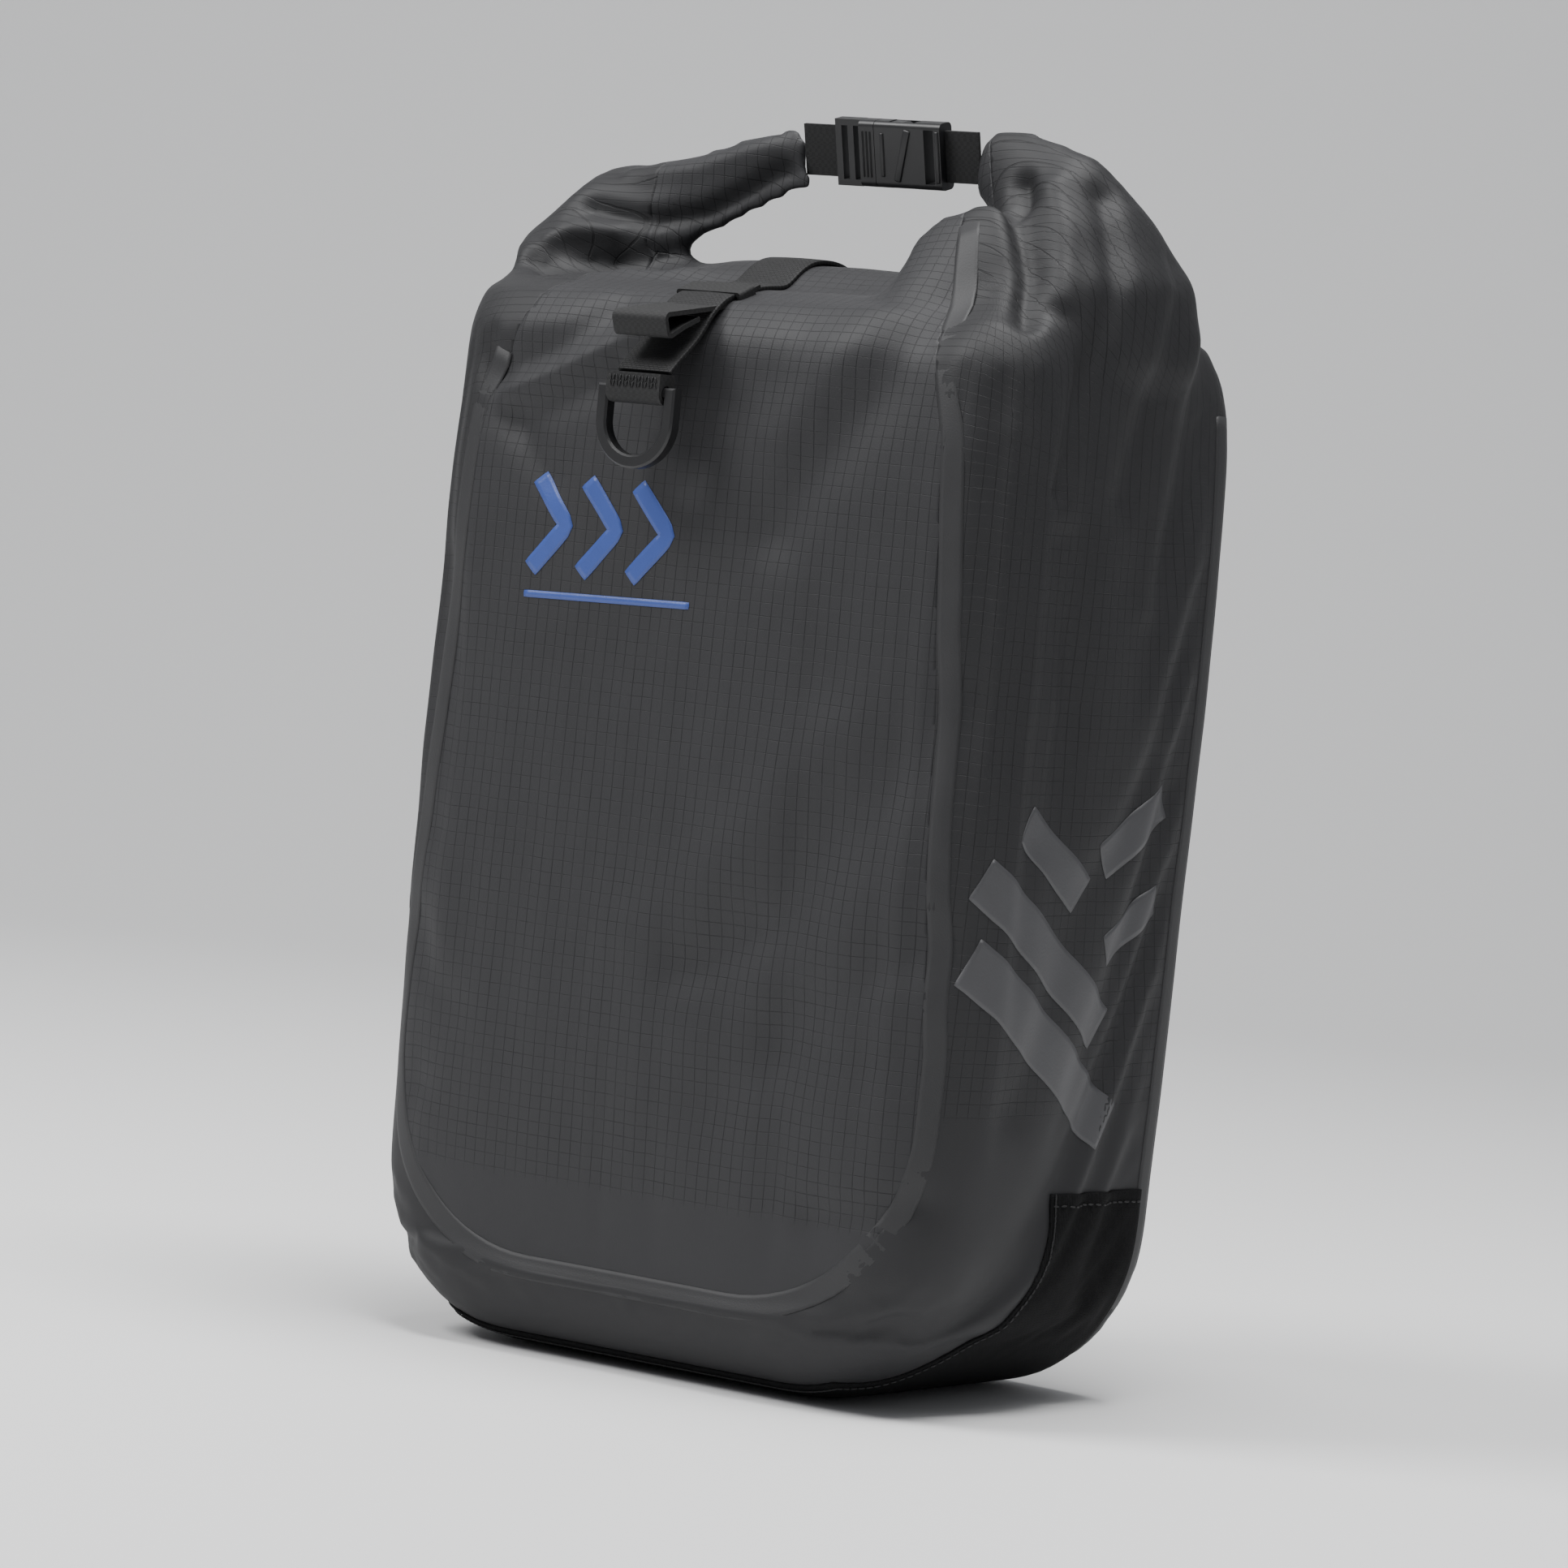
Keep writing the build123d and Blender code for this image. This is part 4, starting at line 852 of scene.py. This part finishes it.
def film(name, points, half, material, ray):
    """A stripe of film along points in a plane, with its width half each side."""
    path = [touch(*ray(a, b)) for a, b in points]
    rows = max(2, round(half / 0.0011))
    across = [half * (2 * k / rows - 1) for k in range(rows + 1)]
    piece = strip_on_shell(name, path, across, 0.00022, 0.0003)
    finish_on_shell(piece, material)


def from_front(x, z):
    return (x, -0.3, z), (0, 1, 0)


for number in range(3):
    left = -0.076 + 0.0245 * number
    tip = (left + 0.0165, 0.319)
    arms = straight((left, 0.337), tip, 9) + straight(tip, (left, 0.301), 9)[1:]
    film(f"chevron_{number}", arms, 0.0040, blue_film, from_front)
underline = straight((-0.078, 0.2915), (0.003, 0.2935), 32)
film("chevron_bar", underline, 0.0016, blue_film, from_front)

BARS = (
    ((-0.040, 0.226), (-0.002, 0.199), 0.0085),
    ((-0.062, 0.205), (0.022, 0.148), 0.0095),
    ((-0.064, 0.174), (0.034, 0.110), 0.0105),
    ((0.008, 0.212), (0.050, 0.236), 0.0080),
    ((0.016, 0.178), (0.052, 0.198), 0.0070),
)
for side, word in ((-1, "left"), (1, "right")):

    def from_side(y, z):
        return (side * 0.3, y, z), (-side, 0, 0)

    for number, (start, end, half) in enumerate(BARS):
        bar = straight(start, end, round(math.dist(start, end) / 0.0022))
        film(f"side_bar_{word}_{number}", bar, half, grey_film, from_side)

# ---- Wear patch ----
# A coarse, rubbed-looking weave stitched over the foot of both sides and under the base, where
# the bag touches the ground. Its front edge sweeps forward as it goes under.
PATCH_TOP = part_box("wear_patch")[1].z
PATCH_THICK = 0.0011


def patch_front(z):
    """The patch's front edge, going under the bag from the top of the side."""
    fall = min(1.0, max(0.0, (PATCH_TOP - z) / (PATCH_TOP - 0.006)))
    return 0.0065 - 0.004 * fall - 0.070 * fall ** 2.6


def outline_point(s):
    """The foot's outline seen from the front: s from 0, right side top, to 1, left side top."""
    straight_up = PATCH_TOP - CORNER
    arc = CORNER * math.pi / 2
    flat_half = HALF_WIDTH * 0.965 - CORNER
    length = 2 * (straight_up + arc + flat_half)
    d = min(s, 1 - s) * length
    side = 1 if s < 0.5 else -1
    if d < straight_up:
        return side * (flat_half + CORNER), PATCH_TOP - d, length
    if d < straight_up + arc:
        turn = (d - straight_up) / CORNER
        return side * (flat_half + CORNER * math.cos(turn)), BASE + CORNER * (1 - math.sin(turn)), length
    return side * (flat_half - (d - straight_up - arc)), BASE, length


def patch_point(s, t):
    """A point and normal on the shell under the patch: t from 0 at the back to 1 at the front."""
    x, z, length = outline_point(s)
    y = BACK - 0.014 + (patch_front(z) - BACK + 0.014) * t
    near, out, _, _ = shell_tree.find_nearest(Vector((x, y, z)))
    return near, out, (s * length, y, 0)


bm = bmesh.new()
bmesh.ops.create_grid(bm, x_segments=150, y_segments=36, size=1.0)
layer = bm.verts.layers.float_vector.new("weave")
for v in bm.verts:
    near, out, flat = patch_point((v.co.x + 1) / 2, (v.co.y + 1) / 2)
    v.co = near + out * (PATCH_THICK - 0.0002)
    v[layer] = flat
for v in bm.verts:
    v.co.z = max(v.co.z, 0.0004)
bmesh.ops.recalc_face_normals(bm, faces=bm.faces)
bm.faces.ensure_lookup_table()
if bm.faces[0].normal.x * bm.faces[0].calc_center_median().x < 0:
    bmesh.ops.reverse_faces(bm, faces=bm.faces)
patch = new_object("wear_patch_cloth", bm)
thicken(patch, PATCH_THICK)
apply_modifiers(patch)
material, shader, nodes, links = node_material("wear_weave", 0.8)
shader.inputs["Specular IOR Level"].default_value = 0.15
place = attribute_vector(nodes, "weave")
weave = nodes.new("ShaderNodeTexBrick")
weave.offset = 0.5
weave.inputs["Scale"].default_value = 1000.0
weave.inputs["Brick Width"].default_value = 2.2
weave.inputs["Row Height"].default_value = 1.1
weave.inputs["Mortar Size"].default_value = 0.16
weave.inputs["Mortar Smooth"].default_value = 0.8
weave.inputs["Color1"].default_value = (0.0045, 0.0045, 0.0050, 1)
weave.inputs["Color2"].default_value = (0.0080, 0.0080, 0.0086, 1)
weave.inputs["Mortar"].default_value = (0.003, 0.003, 0.003, 1)
links.new(place, weave.inputs["Vector"])
links.new(weave.outputs["Color"], shader.inputs["Base Color"])
add_bump(nodes, links, shader, weave.outputs["Fac"], 0.8, -0.0004)
patch.data.materials.append(material)
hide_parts("wear_patch")
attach(patch, "bag_body")


def thread_run(name, places, half_length, radius):
    """Stitches as short, fat threads: each is (point, along, out)."""
    bm = bmesh.new()
    for point, along, out in places:
        along = along.normalized()
        across = out.cross(along).normalized()
        up = along.cross(across)
        turn = Matrix((along, across, up)).transposed().to_4x4()
        place = Matrix.Translation(point) @ turn @ Matrix.Diagonal((half_length, radius, radius, 1))
        bmesh.ops.create_uvsphere(bm, u_segments=8, v_segments=5, radius=1.0, matrix=place)
    return new_object(name, bm)


black_thread, shader, nodes, links = node_material("black_thread", 0.6)
coordinates = nodes.new("ShaderNodeTexCoord")
twist = nodes.new("ShaderNodeTexWave")
twist.inputs["Scale"].default_value = 900.0
links.new(coordinates.outputs["Object"], twist.inputs["Vector"])
tone = add_mix(nodes, links, twist.outputs["Fac"], (0.004, 0.004, 0.0045), (0.011, 0.011, 0.012))
links.new(tone, shader.inputs["Base Color"])


def patch_stitch(start, end):
    """A stitch between two (s, t) places on the patch: its middle, its heading and outwards."""
    one, out, _ = patch_point(*start)
    other, _, _ = patch_point(*end)
    return (one + other) / 2 + out * (PATCH_THICK + 0.0001), other - one, out


edge = []
for step in range(176):
    s = (step + 0.5) / 176
    edge.append(patch_stitch((s - 0.002, 0.965), (s + 0.002, 0.965)))
for s in (0.012, 0.988):
    for step in range(16):
        t = 0.96 - 0.93 * step / 15
        edge.append(patch_stitch((s, t - 0.02), (s, t + 0.02)))
edge = [e for e in edge if e[0].z > 0.003]
stitches = thread_run("patch_stitches", edge, 0.0014, 0.00042)
stitches.data.materials.append(black_thread)
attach(stitches, "bag_body")

# ---- Straps ----
# Woven polyamide webbing: a strap that lies over the roll and holds it down, its keeper, the
# folded pull loop and the tab that carries the ring. The last three are solids from the CAD.
def woven_material(name, colour, pitch=0.0016):
    material, shader, nodes, links = node_material(name, 0.7)
    place = attribute_vector(nodes, "weave")
    weave = nodes.new("ShaderNodeTexBrick")
    weave.offset = 0.5
    weave.inputs["Scale"].default_value = 1 / pitch
    weave.inputs["Brick Width"].default_value = 1.3
    weave.inputs["Row Height"].default_value = 0.65
    weave.inputs["Mortar Size"].default_value = 0.10
    weave.inputs["Mortar Smooth"].default_value = 0.9
    weave.inputs["Color1"].default_value = (*colour, 1)
    weave.inputs["Color2"].default_value = (*shade(colour, 1.5), 1)
    weave.inputs["Mortar"].default_value = (*shade(colour, 0.4), 1)
    links.new(place, weave.inputs["Vector"])
    links.new(weave.outputs["Color"], shader.inputs["Base Color"])
    add_bump(nodes, links, shader, weave.outputs["Fac"], 0.9, -0.0004)
    return material


def checked_material(name, colour, pitch=0.0014):
    """Webbing that turns through space: the weave is a fine chequer with a nap of loose fibre."""
    material, shader, nodes, links = node_material(name, 0.75)
    place = nodes.new("ShaderNodeTexCoord").outputs["Object"]
    check = nodes.new("ShaderNodeTexChecker")
    check.inputs["Scale"].default_value = 1 / pitch
    check.inputs["Color1"].default_value = (*colour, 1)
    check.inputs["Color2"].default_value = (*shade(colour, 0.55), 1)
    links.new(place, check.inputs["Vector"])
    links.new(check.outputs["Color"], shader.inputs["Base Color"])
    add_bump(nodes, links, shader, add_noise(nodes, links, place, 1800.0), 0.35, 0.0003)
    add_bump(nodes, links, shader, check.outputs["Fac"], 0.6, 0.0002)
    return material


strap_weave = woven_material("strap_weave", (0.0055, 0.0055, 0.006))
webbing_check = checked_material("webbing_check", (0.011, 0.011, 0.0115))
strap_low, strap_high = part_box("top_strap")
STRAP_MIDDLE = (strap_low.x + strap_high.x) / 2
STRAP_HALF = (strap_high.x - strap_low.x) / 2
tab_low, tab_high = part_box("ring_tab")


def ribbon(name, path, half, thick, material, body):
    """Webbing across X along a path of (point, up), half wide each side and thick downwards."""
    bm = bmesh.new()
    count = len(path) - 1
    bmesh.ops.create_grid(bm, x_segments=8, y_segments=count, size=1.0)
    layer = bm.verts.layers.float_vector.new("weave")
    run = [0.0]
    for (one, _), (other, _) in zip(path, path[1:]):
        run.append(run[-1] + (other - one).length)
    for v in bm.verts:
        across = v.co.x * half
        i = round((v.co.y + 1) / 2 * count)
        point, up = path[i]
        v.co = point + Vector((across, 0, 0)) - up * 0.0003 * (across / half) ** 2
        v[layer] = (across, run[i], 0)
    bm.faces.ensure_lookup_table()
    if bm.faces[8 * (count // 2)].normal.dot(path[count // 2][1]) < 0:
        bmesh.ops.reverse_faces(bm, faces=bm.faces)
    piece = new_object(name, bm)
    thicken(piece, thick)
    edge = piece.modifiers.new("edge", "BEVEL")
    edge.width = 0.0003
    edge.segments = 2
    apply_modifiers(piece)
    piece.data.materials.append(material)
    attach(piece, body)
    return piece


# the strap runs from under the ring's tab, where it stands off the cloth, over to the back
path = []
for step in range(110):
    turn = math.radians(-10 + 186 * step / 109)
    heading = Vector((0, -math.cos(turn), math.sin(turn)))
    away = heading * min(0.3, 0.046 / max(0.1, heading.z))
    point, normal = touch(Vector((STRAP_MIDDLE, 0.004, 0.392)) + away, -heading)
    clear = 0.0
    for x in (STRAP_MIDDLE - STRAP_HALF, STRAP_MIDDLE + STRAP_HALF):
        beside, _ = touch(Vector((x, 0.004, 0.392)) + away, -heading)
        clear = max(clear, (beside - point).dot(heading))
    point = point + normal * (0.0019 + clear)
    to_tab = 1 - smoothstep(tab_high.z - 0.004, tab_high.z + 0.022, point.z)
    if point.y < 0:
        point.y += (tab_low.y + 0.0030 - point.y) * to_tab
    path.append((point, normal))
for _ in range(3):
    eased = [
        ((a[0] + b[0] * 2 + c[0]) / 4, (a[1] + b[1] * 2 + c[1]).normalized())
        for a, b, c in zip(path, path[1:], path[2:])
    ]
    path = [path[0], *eased, path[-1]]
path = [(point, normal) for point, normal in path if point.z > tab_high.z - 0.001]
strap = ribbon("strap_over_roll", path, STRAP_HALF, 0.0017, strap_weave, "closure")
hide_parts("top_strap")

# bar tacks: a block of close stitches across the ring's tab
tacks = []
for row in range(2):
    for step in range(15):
        x = tab_low.x + 0.002 + (tab_high.x - tab_low.x - 0.004) * step / 14
        point = Vector((x, tab_low.y - 0.0002, tab_high.z - 0.0022 - 0.0022 * row))
        tacks.append((point, Vector((0.35 if step % 2 else -0.35, 0, 1)), Vector((0, -1, 0))))
tab_tacks = thread_run("tab_tacks", tacks, 0.0013, 0.00035)
tab_tacks.data.materials.append(black_thread)
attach(tab_tacks, "closure")


# ---- Hardware ----
# Moulded black polyamide with a fine spark-eroded grain, anodised aluminium rails, plated
# steel screws and springs, and the pale foamed board inside the back panel.
def solid_material(name, colour, roughness, metallic=0.0, grain=900.0, depth=0.00006, streaks=0.0):
    material, shader, nodes, links = node_material(name, roughness, metallic)
    place = nodes.new("ShaderNodeTexCoord").outputs["Object"]
    if streaks:
        stretch = nodes.new("ShaderNodeMapping")
        stretch.inputs["Scale"].default_value = (streaks, 1, 1)
        links.new(place, stretch.inputs["Vector"])
        place = stretch.outputs["Vector"]
    speckle = add_noise(nodes, links, place, grain, 3.0)
    tone = add_mix(nodes, links, speckle, shade(colour, 0.86), shade(colour, 1.14))
    links.new(tone, shader.inputs["Base Color"])
    worn = add_noise(nodes, links, place, 55.0)
    rough = add_range(nodes, links, worn, roughness - 0.08, roughness + 0.08)
    links.new(rough, shader.inputs["Roughness"])
    add_bump(nodes, links, shader, speckle, 0.4, depth)
    return material


black_plastic = solid_material("black_plastic", (0.012, 0.012, 0.013), 0.42)
hook_plastic = solid_material("hook_plastic", (0.017, 0.017, 0.018), 0.5)
insert_plastic = solid_material("insert_plastic", (0.10, 0.10, 0.105), 0.5)
anodised_rail = solid_material("anodised_rail", (0.045, 0.045, 0.048), 0.36, 0.9, 1400.0, 0.00003, 0.04)
plated_steel = solid_material("plated_steel", (0.42, 0.42, 0.41), 0.28, 1.0, 700.0, 0.00002)
foamed_board = solid_material("foamed_board", (0.30, 0.30, 0.29), 0.8, 0.0, 500.0, 0.0002)
DRESSED = (
    (black_plastic, ("rail_end_caps", "latch_left", "latch_right", "handle_clip_left")),
    (black_plastic, ("handle_clip_right", "anchor_carriage", "buckle_female", "buckle_male")),
    (black_plastic, ("buckle_prong_upper", "buckle_prong_lower", "d_ring")),
    (hook_plastic, ("hook_left", "hook_right", "anchor_fin")),
    (insert_plastic, ("tube_insert_left", "tube_insert_right")),
    (anodised_rail, ("top_rail", "low_rail")),
    (plated_steel, ("top_rail_screws", "low_rail_screws", "top_rail_nuts", "low_rail_nuts")),
    (plated_steel, ("hook_screw_left", "hook_screw_right", "anchor_screw", "latch_pin_left")),
    (plated_steel, ("latch_pin_right", "latch_spring_left", "latch_spring_right")),
    (foamed_board, ("stiffener_board", "mouth_strip")),
    (webbing_check, ("handle_webbing", "webbing_left", "webbing_right")),
    (webbing_check, ("pull_loop", "ring_tab", "strap_keeper")),
)
for material, names in DRESSED:
    for name in names:
        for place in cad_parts[name].material_slots:
            place.material = material

# ---- Buckle ----
# A side-release buckle: the female half has a slanted bar and two upright ones on each face, and
# the male half ends in a ladder lock. Raised ribs mark where the sides are squeezed.
BUCKLE_TILT = math.radians(15)
female_low, female_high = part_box("buckle_female")
male_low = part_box("buckle_male")[0]
buckle_place = Vector((0, (female_low.y + female_high.y) / 2, (female_low.z + female_high.z) / 2))
leaning = Matrix.Translation(buckle_place) @ Matrix.Rotation(BUCKLE_TILT, 4, "X")


def add_bar(bm, start, end, width, thick, at_y):
    """A bar between two points of the buckle's face, standing at_y out from its middle."""
    start, end = Vector((start[0], 0, start[1])), Vector((end[0], 0, end[1]))
    along = (end - start).normalized()
    turn = Matrix((along, Vector((0, 1, 0)), along.cross(Vector((0, 1, 0))))).transposed().to_4x4()
    size = Matrix.Diagonal(((end - start).length, thick, width, 1))
    place = Matrix.Translation((start + end) / 2 + Vector((0, at_y, 0)))
    bmesh.ops.create_cube(bm, size=1.0, matrix=leaning @ place @ turn @ size)


def moulding(name, bars, body):
    """Rounded bars in the buckle's plastic, riding one half of it."""
    bm = bmesh.new()
    for bar in bars:
        add_bar(bm, *bar)
    bmesh.ops.bevel(bm, geom=bm.edges, offset=0.0005, segments=3, affect="EDGES", profile=0.5, material=-1)
    piece = new_object(name, bm)
    piece.data.materials.append(black_plastic)
    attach(piece, body)


FACE_OUT = 0.0044
left, right = female_low.x, female_high.x
ribs = []
for out in (-FACE_OUT, FACE_OUT):
    ribs.append(((left + 0.0155, 0.0100), (left + 0.0100, -0.0100), 0.0030, 0.0010, out))
    ribs.append(((left + 0.0035, 0.0085), (left + 0.0035, -0.0085), 0.0016, 0.0009, out))
    ribs.append(((right - 0.0015, 0.0100), (right - 0.0015, -0.0100), 0.0018, 0.0009, out))
moulding("buckle_face_bars", ribs, "closure")
grips = []
for side in (-1, 1):
    for step in range(3):
        x = male_low.x + 0.0138 + 0.0017 * step
        grips.append(((x, 0.0090), (x, -0.0090), 0.0008, 0.0008, side * 0.0043))
moulding("buckle_grip_ribs", grips, "male_half")
